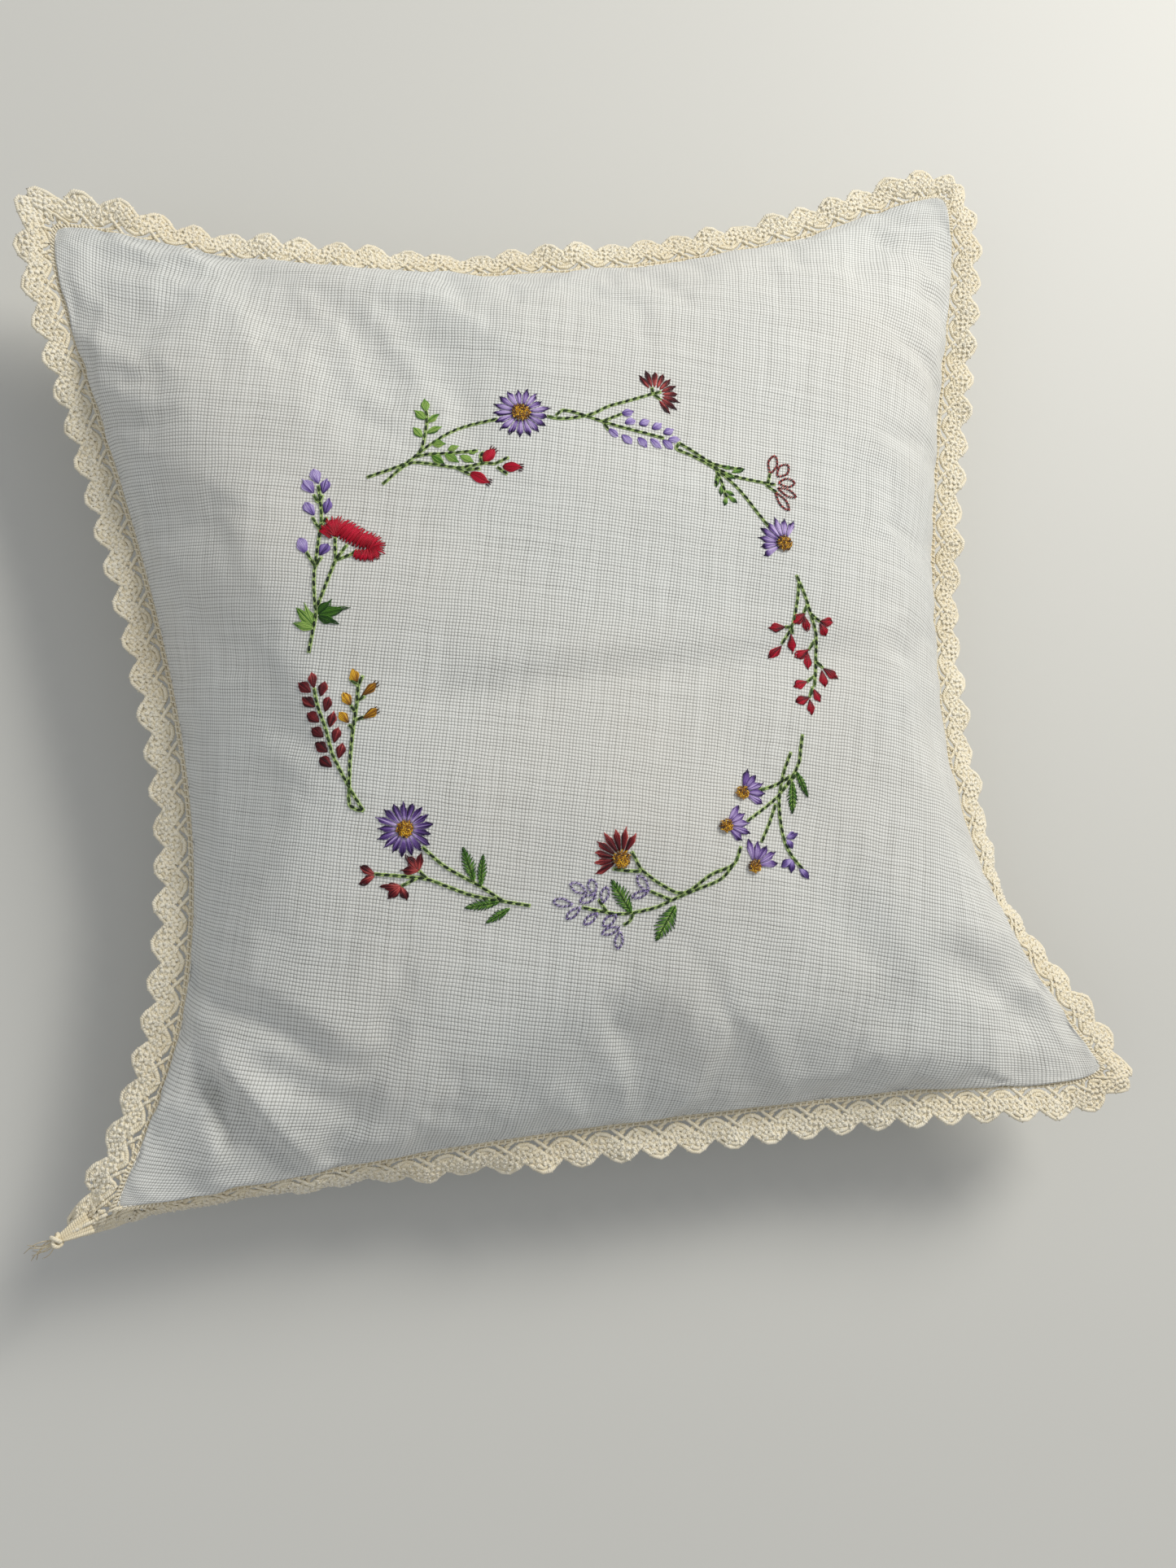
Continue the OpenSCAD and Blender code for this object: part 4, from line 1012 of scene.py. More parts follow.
embroider("cockscomb_stems", "stem_green", stemStitches(cockscomb["stems"]))
embroider("cockscomb_leaves", "leaf_green",
          satinAlong(cockscomb["paleLeaf"], tones["leaf"], 0.5, 0.5, 0.8, thread=0.34, ragged=0.10)
          + satinAlong(cockscomb["darkLeaf"], tones["dark"], 0.5, 0.5, 0.8, thread=0.34, ragged=0.10))
embroider("cockscomb_flower", "crimson", combStitches(cockscomb["band"], cockscomb["bandWidths"]))
embroider("cockscomb_lilac_buds", "lilac",
          satinAlong(cockscomb["paleBuds"], tones["lilac"], 0.62, 0.75)
          + satinAlong(cockscomb["deepBuds"], tones["deepBud"], 0.62, 0.75))

# Left, lower: dark red bud ladder and gold buds
budSpray = {
    "stems": [
        [(-77.5, -11.5), (-77, -16.5), (-75.5, -23), (-74.5, -29.5), (-73.5, -32.5), (-71, -39),
         (-68, -45.5)],
        [(-66, -12.5), (-67, -18), (-68.5, -24), (-70, -31.5), (-71, -38.5), (-71.5, -43), (-70.5, -44.5),
         (-68, -45.5)],
        [(-64.5, -15.5), (-66.5, -16.5)],
        [(-65, -21), (-67.5, -21.5)],
        [(-68.5, -17.5), (-67.5, -19.5)],
        [(-69.5, -22.5), (-68.5, -24)],
        [(-64.5, -10), (-66, -12.5)],
        [(-68, -10.5), (-66, -12.5)],
    ],
    "tipBud": ((-77.5, -11.5), (-77.7, -7.3), 2.3),
    # each column: first base, step to the next one, number, way from base to tip, and width
    "left": ((-78.5, -12.5), (0.7, -4.1), 6, (-2.8, 3.0), 2.9),
    "right": ((-76, -14), (0.75, -4.25), 5, (1.5, 3.8), 2.5),
    "goldBuds": [
        ((-66.5, -12), (-67, -8), 2.7), ((-68.5, -17.5), (-70, -14), 2.6),
        ((-69.5, -22), (-71.5, -19), 2.4),
    ],
    "brownBuds": [((-65.5, -15.5), (-61, -12.5), 2.3), ((-66, -21.5), (-61.5, -19.5), 2.4)],
}


def budColumn(first, step, count, way, width):
    bases = [(first[0] + k * step[0], first[1] + k * step[1]) for k in range(count)]
    return [((x, y), (x + way[0], y + way[1]), width) for x, y in bases]


embroider("bud_spray_stems", "stem_green", stemStitches(budSpray["stems"]))
embroider("bud_spray_red_buds", "rust",
          satinAlong([budSpray["tipBud"]], tones["paleTip"], 0.62)
          + satinAlong(budColumn(*budSpray["left"]), tones["dark"], 0.62)
          + satinAlong(budColumn(*budSpray["right"]), tones["redTip"], 0.62))
embroider("bud_spray_yellow_buds", "gold",
          satinAlong(budSpray["goldBuds"], tones["gold"], 0.62)
          + satinAlong(budSpray["brownBuds"], tones["deepBud"], 0.72, 1.1)
          + [tipHairs(budSpray["brownBuds"], 3, 0.6)])

# Lower left: violet aster, rust buds and two feathery leaf pairs
lowerAster = {
    "stems": [
        [(-54, -56.5), (-49.5, -61.5), (-45, -65), (-40, -68.5), (-34.5, -73)],
        [(-67, -62), (-59.5, -63.5), (-53.5, -65), (-48.5, -67.5), (-42.5, -70.5), (-34.5, -73),
         (-27.5, -75)],
        [(-55.5, -62.5), (-53.5, -65)],
        [(-60.5, -66), (-56.5, -64.5)],
    ],
    "leaves": [
        ((-41.5, -67), (-43.5, -58), 3.1), ((-40, -68.5), (-38.5, -60.5), 2.4),
        ((-35.5, -73), (-44.5, -73.5), 2.8), ((-33, -75), (-39.5, -78), 2.3),
    ],
    "rustBuds": [
        ((-67, -62), (-70.5, -59.5), 2.1), ((-67, -62.5), (-71, -64), 2.2), ((-55.5, -62.5), (-60, -62), 2.1),
        ((-56, -62), (-58, -58.5), 2.4), ((-55.5, -62.5), (-54.5, -58), 1.8),
        ((-60.5, -66), (-65.5, -65.5), 2.1),
        ((-60.5, -66), (-64, -68.5), 2.5), ((-60.5, -66), (-59.5, -69.5), 2.2),
    ],
    "flower": ((-57.9, -51.4), 2.3, 7.2, 3, 342, 17),
}
embroider("lower_aster_stems", "stem_green", stemStitches(lowerAster["stems"]))
embroider("lower_aster_leaves", "leaf_green", featherLeaves(lowerAster["leaves"]))
embroider("lower_aster_petals", "violet",
          satinAlong(petalShapes(lowerAster["flower"], 1.6), tones["asterDeep"], 0.74, 0.75, 0.4))
embroider("lower_aster_centre", "gold", [knots(lowerAster["flower"], 60)])
embroider("lower_aster_rust_buds", "rust",
          satinAlong(lowerAster["rustBuds"], tones["darkTip"], 0.62, 0.8, 0.7, ragged=0.09))

# Bottom: rust daisy, lilac loop flowers and two large leaves
rustDaisy = {
    "stems": [
        [(2.5, -69), (7.5, -73.5), (13.5, -76.5), (21.5, -72.5), (28, -70.5), (30.5, -66)],
        [(28, -70.5), (24, -74), (17, -76), (10, -78), (5, -79.5), (-3.5, -80), (-9.5, -78.5), (-14, -77)],
        [(-0.5, -80), (-1.5, -82), (-3.5, -83)],
        [(-7.5, -79), (-9.5, -75.5)],
        [(4.5, -75), (10, -78)],
        [(0.5, -64), (1.5, -66.5), (2.5, -69)],
        [(-5, -68), (-1, -69), (2.5, -69.5)],
    ],
    "leaves": [((-1, -80), (-5.5, -71), 4.0), ((11, -79.5), (5, -88), 4.7)],
    "loops": [
        ((-16.5, -76), (-21.5, -74.5), 2.6), ((-12.5, -73.5), (-16.5, -70.5), 2.8),
        ((-10.5, -74), (-11, -70), 2.8),
        ((-8.5, -76.5), (-7, -72.5), 2.6), ((-10, -74.5), (-14.5, -75.5), 2.4),
        ((-14.5, -77), (-18.5, -79.5), 2.3),
        ((-10, -79), (-14, -81.5), 2.3), ((-5, -80), (-9, -82.5), 2.7), ((-4.5, -83.5), (-9.5, -84.5), 2.3),
        ((-4.5, -84.5), (-5.5, -89), 2.6), ((4, -75), (1.5, -70.5), 2.7), ((4, -75), (-0.5, -76), 2.1),
    ],
    "flower": ((-2.4, -65.7), 2.5, 7.7, 54, 203, 8),
}
embroider("rust_daisy_stems", "stem_green", stemStitches(rustDaisy["stems"]))
embroider("rust_daisy_leaves", "leaf_green", featherLeaves(rustDaisy["leaves"]))
embroider("rust_daisy_petals", "rust",
          satinAlong(petalShapes(rustDaisy["flower"], 1.75), tones["paleTip"], 0.74, 0.75))
embroider("rust_daisy_centre", "gold", [knots(rustDaisy["flower"], 66)])
embroider("rust_daisy_lilac_loops", "lilac", zigzagLoops(rustDaisy["loops"]))

# Lower right: three half asters on one branch
threeAster = {
    "stems": [
        [(52, -37.5), (51, -41), (49.5, -46), (44, -52.5), (40, -55.5), (33, -59.5)],
        [(48, -42), (45, -48), (43, -55.5), (43, -63.5), (44.5, -69), (48, -74)],
        [(37.5, -51.5), (42.5, -50.5), (47, -48.5)],
        [(42, -55.5), (39.5, -60.5), (36.5, -65.5)],
        [(44, -52.5), (49, -48)],
    ],
    "leaves": [((47.5, -50), (46.5, -58.5), 2.8), ((49, -47.5), (51.5, -54.5), 2.1)],
    "buds": [
        ((44, -65), (47.5, -64), 2.1), ((44, -65.5), (45.5, -68), 2.0), ((45, -71), (41.5, -72.5), 2.3),
        ((45, -71), (44.5, -74.5), 1.9), ((47, -73.5), (49.5, -76.5), 2.0),
    ],
    "flowers": [
        ((32.6, -51.6), 1.9, 6.6, -33, 68, 5),
        ((26.9, -60), 1.9, 6.5, -48, 49, 5),
        ((33.8, -71.6), 1.9, 6.9, 1, 98, 5),
    ],
}
embroider("three_aster_stems", "stem_green", stemStitches(threeAster["stems"]))
embroider("three_aster_leaves", "leaf_green", featherLeaves(threeAster["leaves"]))
threePetals = [shape for flower in threeAster["flowers"] for shape in petalShapes(flower, 1.85)]
embroider("three_aster_petals", "violet", satinAlong(threePetals, tones["violetTip"], 0.72, 0.8, 0.4))
embroider("three_aster_centres", "gold", [knots(flower, 40, 0.8) for flower in threeAster["flowers"]])
embroider("three_aster_buds", "lilac", satinAlong(threeAster["buds"], tones["darkTip"], 0.62, 0.8))

# Right: red berries, each hanging from a short stalk
berrySpray = {
    "stems": [
        [(56.5, 7), (58, 2), (59, -3.5), (60, -10.5), (59, -18), (57.5, -24.5)],
        [(57, 5), (55.5, -1), (53, -7.5), (49.5, -12)],
        [(53, -7.5), (51, -7.5)],
        [(53, -7.5), (53, -9.5)],
        [(58.5, -1.5), (57, -4)],
        [(59, -4), (61.5, -6.5)],
        [(59.5, -11.5), (57.5, -14)],
        [(59, -17), (61, -19.5)],
        [(58, -21.5), (55.5, -23)],
        [(57, -24.5), (55.5, -27.5)],
    ],
    "berries": [
        ((51, -7.5), (46, -7.5), 2.7), ((49.5, -12.5), (45.5, -15.5), 2.6),
        ((52.5, -9.5), (52.5, -14.5), 2.5),
        ((57.5, -4), (53.5, -6.5), 3.0), ((57, -4.5), (57.5, -9), 2.4), ((61.5, -6.5), (65.5, -7), 2.7),
        ((61.5, -7), (63, -10.5), 2.6), ((57.5, -14), (53, -16), 2.8), ((57, -14.5), (56.5, -19.5), 2.4),
        ((61, -19.5), (64.5, -22.5), 2.6), ((60.5, -20), (60.5, -24.5), 2.5), ((55.5, -23), (51.5, -24), 2.8),
        ((57, -25), (58.5, -29), 2.2), ((55.5, -27.5), (51.5, -28.5), 2.8), ((55.5, -28), (55.5, -32), 2.2),
    ],
}
embroider("berry_stems", "stem_green", stemStitches(berrySpray["stems"]))
embroider("berry_buds", "crimson",
          satinAlong(berrySpray["berries"], tones["berry"], 0.7, 1.0, 0.55, ragged=0.08))

# Upper right: half aster, rust loop flower and small leaves
rightAster = {
    "stems": [
        [(28.5, 47.5), (32.5, 44.5), (37, 41), (42, 39.5), (46, 39)],
        [(28.5, 47.5), (27.5, 45.5), (31.5, 43.5), (38, 39), (43.5, 33), (48, 25.5), (50.5, 21.5)],
        [(37, 40), (42.5, 37), (50, 35), (55, 34)],
        [(52.5, 34), (54, 37.5)],
        [(52, 34), (55, 31.5)],
        [(38, 38.5), (39, 35), (39.5, 30)],
        [(38, 37.5), (37, 34)],
    ],
    "leaves": [
        ((42.5, 38), (46.5, 39), 1.4), ((40, 38), (43, 36), 1.2), ((38.5, 34), (38, 31), 1.1),
        ((39.5, 32.5), (42, 31), 1.2), ((40, 31), (42.5, 28.5), 1.3), ((39.5, 30.5), (38.5, 28), 1.3),
        ((38, 37), (37, 33.5), 1.2), ((40, 39.5), (43, 39.5), 1.2),
    ],
    "loops": [
        ((54, 37.5), (56.5, 43), 3.2), ((56, 36.5), (60, 40), 3.5), ((56, 34.5), (61, 34.5), 3.1),
        ((55.5, 33), (60.5, 30), 2.6), ((54.5, 31.5), (57.5, 26), 2.8),
    ],
    "flower": ((54.3, 16.2), 2.3, 7.5, 59, 206, 8),
}
embroider("right_aster_stems", "stem_green", stemStitches(rightAster["stems"]))
embroider("right_aster_leaves", "leaf_green",
          satinAlong(rightAster["leaves"], tones["tipped"], 0.6, thread=0.34))
embroider("right_aster_petals", "violet",
          satinAlong(petalShapes(rightAster["flower"], 1.7), tones["asterPale"], 0.76, 0.8, 0.38))
embroider("right_aster_centre", "gold", [knots(rightAster["flower"], 56)])
embroider("right_aster_rust_loops", "rust", zigzagLoops(rightAster["loops"], 0.4))

# Top right: lavender branch and a small red daisy
lavender = {
    "stems": [
        [(-7.5, 57.5), (-4.5, 56.5), (0.5, 56.5), (5.5, 57.5), (10, 59.5), (16, 61), (23.5, 63)],
        [(-5, 57.5), (-2.5, 59), (3, 57), (7.5, 55), (12.5, 53), (18.5, 51), (24.5, 49)],
        [(8, 55), (13.5, 57)],
        [(8, 54.5), (9, 52)],
        [(23.5, 63), (23.5, 65)],
        [(23.5, 63), (26, 63.5)],
        [(23.5, 63), (25.5, 61)],
    ],
    "buds": [
        ((13.5, 57), (17, 57.5), 2.3), ((14, 54), (17, 55), 2.2), ((18, 53.5), (21, 54.5), 2.3),
        ((21.5, 52), (24.5, 53.5), 2.2), ((24.5, 50.5), (27.5, 51.5), 2.2), ((25.5, 48.5), (29, 48.5), 2.0),
        ((9, 52.5), (11.5, 50), 2.1), ((12.5, 50.5), (15, 47.5), 2.3), ((17, 49.5), (19, 46.5), 2.3),
        ((20.5, 49), (23, 46), 2.2), ((24, 48.5), (26.5, 45.5), 2.2),
    ],
    "flower": ((23.9, 62.8), 3.0, 7.2, -61, 120, 10),
}
embroider("lavender_stems", "stem_green", stemStitches(lavender["stems"]))
embroider("lavender_buds", "lilac", satinAlong(lavender["buds"], tones["lilac"], 0.58, 0.6))
embroider("lavender_daisy_petals", "rust",
          satinAlong(petalShapes(lavender["flower"], 1.5), tones["darkTip"], 0.7, 0.6))
print("embroidery ready")


# Lace. Each run is made flat, as yarns in (s, w, h): s along the seam, w out from it, h above it.
lace = {
    "scallops": 28, "width": 12.0,
    "cornerSpare": 11.0,     # extra lace that is gathered in at each end of a run
    "yarn": 1.36,            # width of the straight and trail yarns
    "weaver": 1.05,          # width of the thread that weaves across the trail
    "bundle": 1.0,           # width of one of the two yarns in a ground bundle
    "passives": 5,           # yarns side by side in the trail
    "valley": 4.2, "rise": 4.4, "halfTrail": 2.3,
    "cross": 1.18,           # distance along the trail from one weaver crossing to the next
    "cornerBlend": 15.0,     # length over which a run turns towards its corner
    "sway": 7.0,             # degrees that the lean wanders along a run
    "ripple": 0.45,          # height of the ripples at the free edge
    "seeds": {"bottom": 21, "right": 22, "top": 23, "left": 24},
}
# How far the gathered lace reaches out of each corner, and which way
cornerReach = {"topLeft": 18.5, "topRight": 10.5, "bottomRight": 13.5, "bottomLeft": 24.0}
cornerWay = {"topLeft": (-0.62, 0.78), "topRight": (0.70, 0.71), "bottomRight": (0.88, -0.47),
             "bottomLeft": (-0.93, -0.37)}


def trailLine(s, pitch):
    # middle of the dense trail: a rounded point in the middle of every repeat
    share = s / pitch % 1
    wave = 0.8 * (1 - np.abs(2 * share - 1)) + 0.2 * (0.5 - 0.5 * np.cos(2 * np.pi * share))
    return lace["valley"] + lace["rise"] * wave


def trailYarns(length, pitch):
    # yarns side by side, and one that weaves over and under them from edge to edge
    s = np.linspace(0, length, int(length / 0.62))
    w = trailLine(s, pitch)
    slope = np.gradient(w, s)
    lean = np.stack([-slope, np.ones_like(s)], -1) / np.sqrt(1 + slope ** 2)[:, None]
    passives = []
    for k in range(lace["passives"]):
        offset = (2 * k / (lace["passives"] - 1) - 1) * lace["halfTrail"]
        h = 0.22 * np.sin(s * np.pi / lace["cross"] + k * np.pi)
        passives.append(np.stack([s + lean[:, 0] * offset, w + lean[:, 1] * offset, h], -1))
    run = np.concatenate([[0], np.cumsum(np.hypot(np.diff(s), np.diff(w)))])
    crossings = int(run[-1] / lace["cross"])
    t = np.linspace(0, crossings, crossings * 7 + 1)
    along = np.interp(t * lace["cross"], run, s)
    zigzag = (2 / np.pi) * np.arcsin(np.sin(np.pi * (t - 0.5)))
    offset = zigzag * (lace["halfTrail"] + 0.45)
    over = 0.60 * np.cos(np.pi * (offset / lace["halfTrail"] * 2 + np.floor(t)))
    weaver = np.stack([along + np.interp(along, s, lean[:, 0]) * offset,
                       np.interp(along, s, w) + np.interp(along, s, lean[:, 1]) * offset, over + 0.08], -1)
    return passives, weaver


def groundYarns(length, pitch, count):
    # in each repeat two twisted bundles cross between the header and the trail
    share = np.linspace(0, 1, 13)
    profileS = np.interp(share, [0, 0.42, 0.55, 1], [-2.75, -0.35, 0.35, 2.75])
    profileW = np.interp(share, [0, 0.42, 0.55, 1], [0.7, 2.85, 3.5, 5.3])
    kernel = np.array([0.25, 0.5, 0.25])
    profileS[1:-1] = np.convolve(profileS, kernel, "valid")
    profileW[1:-1] = np.convolve(profileW, kernel, "valid")
    paths = []
    for side in (-1, 1):
        for strand in (0, np.pi):
            turn = share * 3 * np.pi + strand
            s = side * profileS + 0.30 * np.cos(turn)
            h = 0.26 * np.sin(turn) + side * 0.22 * np.sin(np.pi * share)
            paths.append(np.stack([s, profileW + 0.16 * np.cos(turn), h], -1))
    paths = np.array(paths)
    middles = (np.arange(count) + 0.5) * pitch
    paths = np.repeat(paths[None], count, 0)
    paths[..., 0] += middles[:, None, None]
    return paths.reshape(-1, len(share), 3)


def headerYarns(length):
    # straight yarns along the seam, the first ones sewn inside it, and a thread wrapped round
    # the outer two
    s = np.linspace(0, length, int(length / 1.1))
    rows = [np.stack([s, np.full_like(s, w), 0.12 * np.sin(s * 2.4 + w * 5)], -1)
            for w in (-1.5, -0.7, 0.15, 0.92)]
    t = np.linspace(0, length, int(length / 0.3))
    wrap = np.stack([t, 0.55 + 0.78 * np.cos(t * 2 * np.pi / 1.85), 0.42 * np.sin(t * 2 * np.pi / 1.85)], -1)
    return rows, wrap


seamSides = {
    "bottom": (front[0], "bottomLeft", "bottomRight"),
    "right": (front[:, -1], "bottomRight", "topRight"),
    "top": (front[-1, ::-1], "topRight", "topLeft"),
    "left": (front[::-1, 0], "topLeft", "bottomLeft"),
}
# Angle that the lace leans below the level, at shares of each run, going round anticlockwise
laceLean = {
    "bottom": ((0, 0.03, 0.10, 0.24, 0.40, 0.62, 0.85, 1), (10, 62, 58, 40, 14, 2, -4, 5)),
    "right": ((0, 0.06, 0.16, 0.28, 0.42, 0.7, 1), (5, 12, 36, 30, 10, 2, -5)),
    "top": ((0, 0.15, 0.4, 0.6, 0.85, 1), (-5, 4, 12, 16, 6, -6)),
    "left": ((0, 0.1, 0.4, 0.75, 0.9, 1), (-4, 6, 2, -4, 12, 18)),
}


class LaceRun:
    # turns flat lace coordinates of one side into places round the seam
    def __init__(self, name):
        line, self.firstCorner, self.lastCorner = seamSides[name]
        reach = np.concatenate([[0], np.cumsum(np.linalg.norm(np.diff(line, axis=0), axis=1))])
        self.name, self.seamLength = name, reach[-1]
        self.length = reach[-1] + 2 * lace["cornerSpare"]
        even = np.linspace(0, reach[-1], 400)
        self.even = even
        self.line = np.stack([np.interp(even, reach, line[:, k]) for k in range(3)], -1)
        way = unit(np.gradient(self.line, axis=0))
        away = unit(np.stack([way[:, 1], -way[:, 0], 0 * even], -1))
        for corner, distance in ((self.firstCorner, even), (self.lastCorner, reach[-1] - even)):
            near = np.clip(1 - distance / lace["cornerBlend"], 0, 1)
            near = (near * near * (3 - 2 * near))[:, None]
            away = unit(away * (1 - near) + np.array([*cornerWay[corner], 0]) * near)
        self.away = away

    def gather(self, s):
        # place along the seam for a place along the lace, which is gathered in at both corners
        spare = lace["cornerSpare"]
        near = 2.1 * spare
        return np.interp(s, [0, near, self.length - near, self.length],
                         [0, near - spare, self.seamLength - near + spare, self.seamLength])

    def stretch(self, s):
        # how much wider the run is near its corners
        grow = np.ones_like(s)
        for corner, distance in ((self.firstCorner, s), (self.lastCorner, self.seamLength - s)):
            near = np.clip(1 - distance / (0.8 * lace["cornerBlend"]), 0, 1) ** 1.5
            grow = grow + (cornerReach[corner] / lace["width"] - 1) * near
        return grow

    def place(self, flat):
        s, w, h = self.gather(np.clip(flat[..., 0], 0, self.length)), flat[..., 1], flat[..., 2]
        base = np.stack([np.interp(s, self.even, self.line[:, k]) for k in range(3)], -1)
        away = np.stack([np.interp(s, self.even, self.away[:, k]) for k in range(3)], -1)
        shares, angles = laceLean[self.name]
        seed = lace["seeds"][self.name]
        lean = np.radians(np.interp(s / self.seamLength, shares, angles)
                          + lace["sway"] * smoothWaves(s, 0 * s, 5, 18, 70, seed))
        # the lace droops a little more the farther out it is
        bend = lean * (0.7 + 0.5 * w / lace["width"]) * np.clip(w / 1.5, 0, 1)
        w = np.where(w > 0, w * self.stretch(s), w)
        ripple = lace["ripple"] * smoothWaves(s, w, 5, 7, 16, seed + 9) * np.clip(w / lace["width"], 0, 1)
        out = away * np.cos(bend)[..., None]
        out[..., 2] -= np.sin(bend)
        up = away * np.sin(bend)[..., None]
        up[..., 2] += np.cos(bend)
        return base + out * w[..., None] + up * (h + ripple)[..., None], up


def laceSweep(run, flats, width, height, sides=5):
    # yarns through flat points, with painted shade on the yarns that lie low and on those close to the seam
    flats = np.asarray(flats)
    points, ups = run.place(flats)
    part = sweep(points, ups, width, height, sides)
    # painted shade: darker the lower a yarn lies among the others and the closer it is to the seam
    shade = 0.55 - 0.45 * flats[..., 2] - 0.02 * flats[..., 1]
    part["marks"]["shade"] = np.repeat(shade[..., None], sides, -1)
    return part


laceFinish = yarnMaterial(
    "cotton_lace", ((250, 244, 226), (236, 225, 196), (186, 164, 122)),
    lay=1.3, contrast=0.5, relief=0.7, depth=0.00016, soiled=0.25,
    shader={"Roughness": 0.8, "Sheen Weight": 0.3, "Sheen Roughness": 0.45, "Specular IOR Level": 0.25})


def makeLace(name):
    run = LaceRun(name)
    pitch = run.length / lace["scallops"]
    passives, weaver = trailYarns(run.length, pitch)
    rows, wrap = headerYarns(run.length)
    parts = [
        laceSweep(run, passives, lace["yarn"], 0.78),
        laceSweep(run, weaver[None], lace["weaver"], 0.6),
        laceSweep(run, groundYarns(run.length, pitch, lace["scallops"]), lace["bundle"], 0.6),
        laceSweep(run, rows, 0.8, 0.7),
        laceSweep(run, wrap[None], 0.62, 0.5),
    ]
    piece = putSweeps("lace_run_" + name, parts, laceFinish)
    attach(piece, "root")
    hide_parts("lace_" + name)
    return piece, run


laceRuns = {name: makeLace(name) for name in seamSides}
print("lace ready", {name: round(run.length) for name, (piece, run) in laceRuns.items()})


# Knotted and frayed end at the lower left corner
tail = {
    "gather": 8.0, "knot": 17.5, "end": 25.0,         # distances from the corner
    "yarns": 6, "spread": 2.6,                        # yarns that run into the knot, half their spread
    "knotWidth": 3.2, "knotLobes": 3,
    "strands": 11, "fan": 2.6, "seed": 31,            # frayed strands, half their spread, and their curls
    "drop": 1.6,                                      # how far the knot hangs below the corner
}


def tailYarn(paths, width, height, up=(0, 0, 1.0)):
    # round yarns through the paths, with their upper side turned up
    return sweep(paths, np.broadcast_to(up, paths.shape), width, height, 5)


def makeTail():
    corner = front[0, 0]
    out = unit(np.array([*cornerWay["bottomLeft"], 0]))
    aside = np.array([-out[1], out[0], 0])
    parts = []
    draw = np.random.default_rng(tail["seed"])
    # loose strands: from the knot outwards, each with its own curl
    t = np.linspace(0, 1, 9)
    fan = np.linspace(-1, 1, tail["strands"])
    curl = draw.uniform(-1, 1, (tail["strands"], 2))
    reach = tail["end"] - tail["knot"] + draw.uniform(-3, 2, tail["strands"])
    across = fan[:, None] * tail["fan"] * t ** 1.3 + curl[:, :1] * 1.5 * np.sin(np.pi * t)
    paths = corner + out * (tail["knot"] + reach[:, None] * t)[..., None] + aside * across[..., None]
    paths[..., 2] -= 2.0 + 3.0 * t ** 2 + curl[:, 1:] * 1.2 * t
    parts.append(tailYarn(paths, 0.42 * (1 - 0.6 * t), 0.36))
    # the gathered yarns: from the lace they run together into the knot
    t = np.linspace(0, 1, 13)
    fan = np.linspace(-1, 1, tail["yarns"])[:, None]
    reach = tail["gather"] + (tail["knot"] - tail["gather"]) * t
    paths = corner + out * np.broadcast_to(reach, (tail["yarns"], len(t)))[..., None] \
        + aside * (fan * tail["spread"] * (1 - t) ** 0.7)[..., None]
    paths[..., 2] -= tail["drop"]
    parts.append(tailYarn(paths, 1.2, 1.0))
    # the knot: one thick yarn wound round itself
    a = np.linspace(0, 2 * np.pi, 49)
    lobes = tail["knotLobes"] * a
    ring = tail["knotWidth"] / 2 * (0.75 + 0.3 * np.cos(lobes))
    knot = corner + out * (tail["knot"] + 0.9 * np.sin(lobes))[:, None] \
        + aside * (ring * np.cos(2 * a))[:, None]
    knot[:, 2] += ring * np.sin(2 * a) - tail["drop"]
    parts.append(tailYarn(knot[None], 1.25, 1.1, up=(0.1, 0.2, 1.0)))
    # painted shade: the tail's yarns are darker the lower they hang below the corner
    for part in parts:
        height = part["points"][:, 2] - corner[2]
        part["marks"]["shade"] = 0.45 - 0.1 * height
    piece = putSweeps("frayed_tail", parts, laceFinish)
    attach(piece, "root")
    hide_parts("lace_tail")


makeTail()


# Back of the cover: two flaps that overlap, each with a turned and stitched hem
backCover = {
    "lowerEdge": 24.0, "upperEdge": -36.0,            # free edges of the flap below and of the one above
    "step": 0.9,                                      # how far the flap above lies inside the one below
    "hemWidth": 10.0, "hemStitch": 8.0, "hemGap": 0.65,
    "rimBlend": 8.0,                                  # height over which the flaps meet the seam
}
backNormals = gridNormals(back)
seamBlend = np.clip((pillow["seam"] - back[..., 2]) / backCover["rimBlend"], 0, 1)


def rowAt(edge):
    return int(np.argmin(np.abs(back[:, back.shape[1] // 2, 1] - edge)))


def makeFlap(name, node, first, last, edgeRow, inward):
    # rows of the back from the seam to the free edge, and the hem's second layer inside it
    surface = (back + backNormals * (seamBlend * inward)[..., None])[first:last + 1]
    count = surface.shape[1]
    hemRows = abs(rowAt(backCover["lowerEdge"]) - rowAt(backCover["lowerEdge"] - backCover["hemWidth"]))
    low, high = (last - hemRows, last) if edgeRow == last else (first, first + hemRows)
    hemLift = (seamBlend * (inward + backCover["hemGap"]))[..., None]
    hem = (back + backNormals * hemLift)[low:high + 1]
    points = np.concatenate([surface.reshape(-1, 3), hem.reshape(-1, 3)])
    faces = [gridFaces(len(surface), count)[:, ::-1],
             gridFaces(len(hem), count, surface.shape[0] * count)[:, ::-1]]
    uv = clothUv(back).reshape(back.shape[0], back.shape[1], 2)
    uv = np.concatenate([uv[first:last + 1].reshape(-1, 2), uv[low:high + 1].reshape(-1, 2)])
    piece = putMesh(name, points, faces, coverMaterial, uv=uv)
    thicken(piece)
    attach(piece, "root")
    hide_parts(node)
    return piece


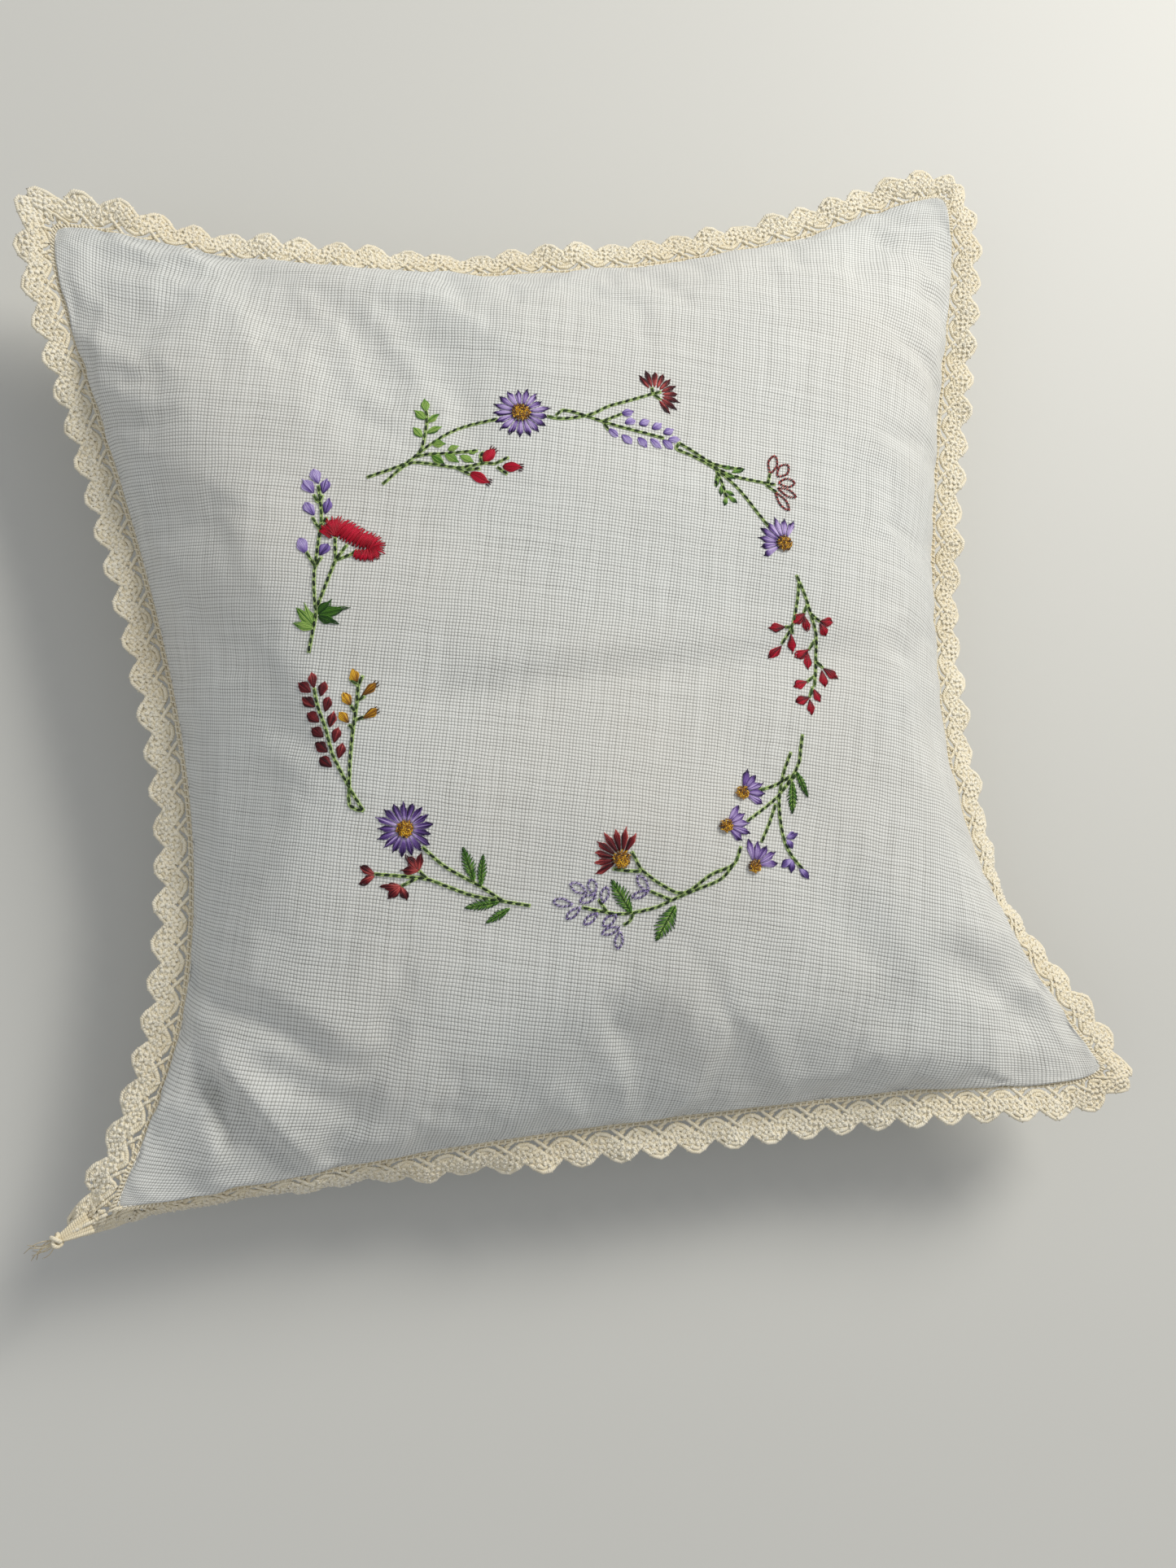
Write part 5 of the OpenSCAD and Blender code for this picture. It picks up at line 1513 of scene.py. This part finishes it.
lowerRow, upperRow = rowAt(backCover["lowerEdge"]), rowAt(backCover["upperEdge"])
flapLower = makeFlap("cover_back_lower", "back_panel_lower", 0, lowerRow, lowerRow, 0.0)
flapUpper = makeFlap("cover_back_upper", "back_panel_upper", upperRow, back.shape[0] - 1, upperRow,
                     backCover["step"])
sewing = {
    "hemHalf": 104, "hemPitch": 2.8, "hemDash": 2.1, "hemWidth": 0.45,
    "seamPitch": 2.6, "seamDash": 2.0, "seamWidth": 0.36, "seamMargin": 3,
    "height": 0.3, "shade": 0.3,
}


def hemStitches(name, node, y, below):
    # dashes of thread along a flap, on the side that faces out
    x = np.arange(-sewing["hemHalf"], sewing["hemHalf"], sewing["hemPitch"])
    row = rowAt(y)
    z = np.interp(x, back[row, :, 0], back[row, :, 2])
    t = np.linspace(0, 1, 6)
    along = x[:, None] + sewing["hemDash"] * t
    paths = np.stack([along, np.full_like(along, y), z[:, None] + below - 0.12 * arch(t)], -1)
    down = np.broadcast_to([0, 0, -1.0], paths.shape)
    part = sweep(paths, down, sewing["hemWidth"], sewing["height"], 5)
    part["marks"]["shade"] = np.full(len(part["points"]), sewing["shade"])
    piece = putSweeps(name, [part], seamThread)
    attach(piece, "root")
    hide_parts(node)


seamThread = threadMaterial("sewing", ((244, 241, 232), (232, 228, 216), (205, 200, 186)))
hemStitches("hem_stitches_lower", "hem_thread_lower", backCover["lowerEdge"] - backCover["hemStitch"], 0.12)
hemStitches("hem_stitches_upper", "hem_thread_upper", backCover["upperEdge"] + backCover["hemStitch"],
            backCover["step"] + 0.55)


def seamStitches():
    # machine stitches along the edge seam, just inside the cloth's edge
    parts = []
    for name, (piece, run) in laceRuns.items():
        s = np.arange(sewing["seamMargin"], run.length - sewing["seamMargin"], sewing["seamPitch"])
        t = np.linspace(0, 1, 5)
        along = s[:, None] + sewing["seamDash"] * t
        rise = np.broadcast_to(0.55 + 0.1 * arch(t), along.shape)
        flat = np.stack([along, np.full_like(along, -0.25), rise], -1)
        part = laceSweep(run, flat, sewing["seamWidth"], sewing["height"])
        part["marks"]["shade"] = np.full(len(part["points"]), sewing["shade"])
        parts.append(part)
    piece = putSweeps("edge_stitches", parts, seamThread)
    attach(piece, "root")
    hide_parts("edge_seam_thread")


seamStitches()


# Insert and its filling, inside the cover
insertPad = {
    "inset": 9.0, "drop": 2.2, "cells": 60, "lump": 0.5, "seed": 41, "fill": 0.75,
}
fibreFill = {
    "inset": 13.0, "drop": 4.0, "cells": 90, "lump": 1.6, "seed": 43, "fill": 0.7,
}


def closedForm(form):
    # a closed cushion: the cover's smooth form drawn in all round, with soft lumps
    p = np.linspace(-1, 1, form["cells"] + 1)
    steps = np.sin(p * np.pi / 2) * 0.5 + p * 0.5
    u, v = np.meshgrid(steps, steps)
    shrink = (half - form["inset"]) / half * (1 - 0.06 * np.abs(u * v) ** 5)
    x, y = planX(u, v) * shrink, planY(u, v) * shrink
    height = bulge(u, v)
    lumps = form["lump"] * smoothWaves(x, y, 9, 16, 60, form["seed"]) * np.minimum(1, 3 * height)
    seam, full = pillow["seam"], height * 0.97
    top = seam + (pillow["top"] - seam - form["drop"]) * full + lumps
    low = np.maximum(seam - (pillow["backDrop"] - form["drop"]) * full, 2.2 + form["drop"])
    places = np.stack([x, y], -1)
    top = np.minimum(top, onFace(places)[0][..., 2] - form["drop"])
    top = np.maximum(top, low + 2.0 * np.minimum(1, 4 * height))
    topSide = np.concatenate([places, top[..., None]], -1)
    lowSide = np.concatenate([places, low[..., None]], -1)
    return joined(topSide, lowSide), closedFaces(len(steps)), joined(places, places)


insertFinish = dict(cottonFinish, light=shades(246, 246, 244), shade=shades(226, 226, 224),
                    pitch=0.0004, turn=0.0)
insertMaterial = clothMaterial("insert_cloth", insertFinish, 0.4, 0.0001)


def fibreMaterial():
    material, tree, bsdf = newMaterial("polyester_fibre", {"Roughness": 0.95, "Sheen Weight": 0.6})
    place = addNode(tree, "ShaderNodeTexCoord").outputs["Object"]
    curls = noiseAt(tree, place, 420.0, 6.0, Distortion=1.5)
    colour = mixed(tree, curls.outputs[0], (*shades(214, 215, 218), 1), (*shades(250, 250, 250), 1))
    tree.links.new(colour, bsdf.inputs["Base Color"])
    bump = addNode(tree, "ShaderNodeBump", {"Height": curls.outputs[0], "Strength": 0.9, "Distance": 0.0012})
    tree.links.new(bump.outputs[0], bsdf.inputs["Normal"])
    return material


def makeInner():
    points, faces, uv = closedForm(insertPad)
    insert = putMesh("insert_cushion", points, faces, insertMaterial, uv=uv)
    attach(insert, "root")
    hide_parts("insert_casing_front", "insert_casing_back")
    points, faces, uv = closedForm(fibreFill)
    fibre = putMesh("fibre_filling", points, faces, fibreMaterial(), uv=uv)
    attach(fibre, "root")
    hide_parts("fibre_fill")


makeInner()
print("insert ready")
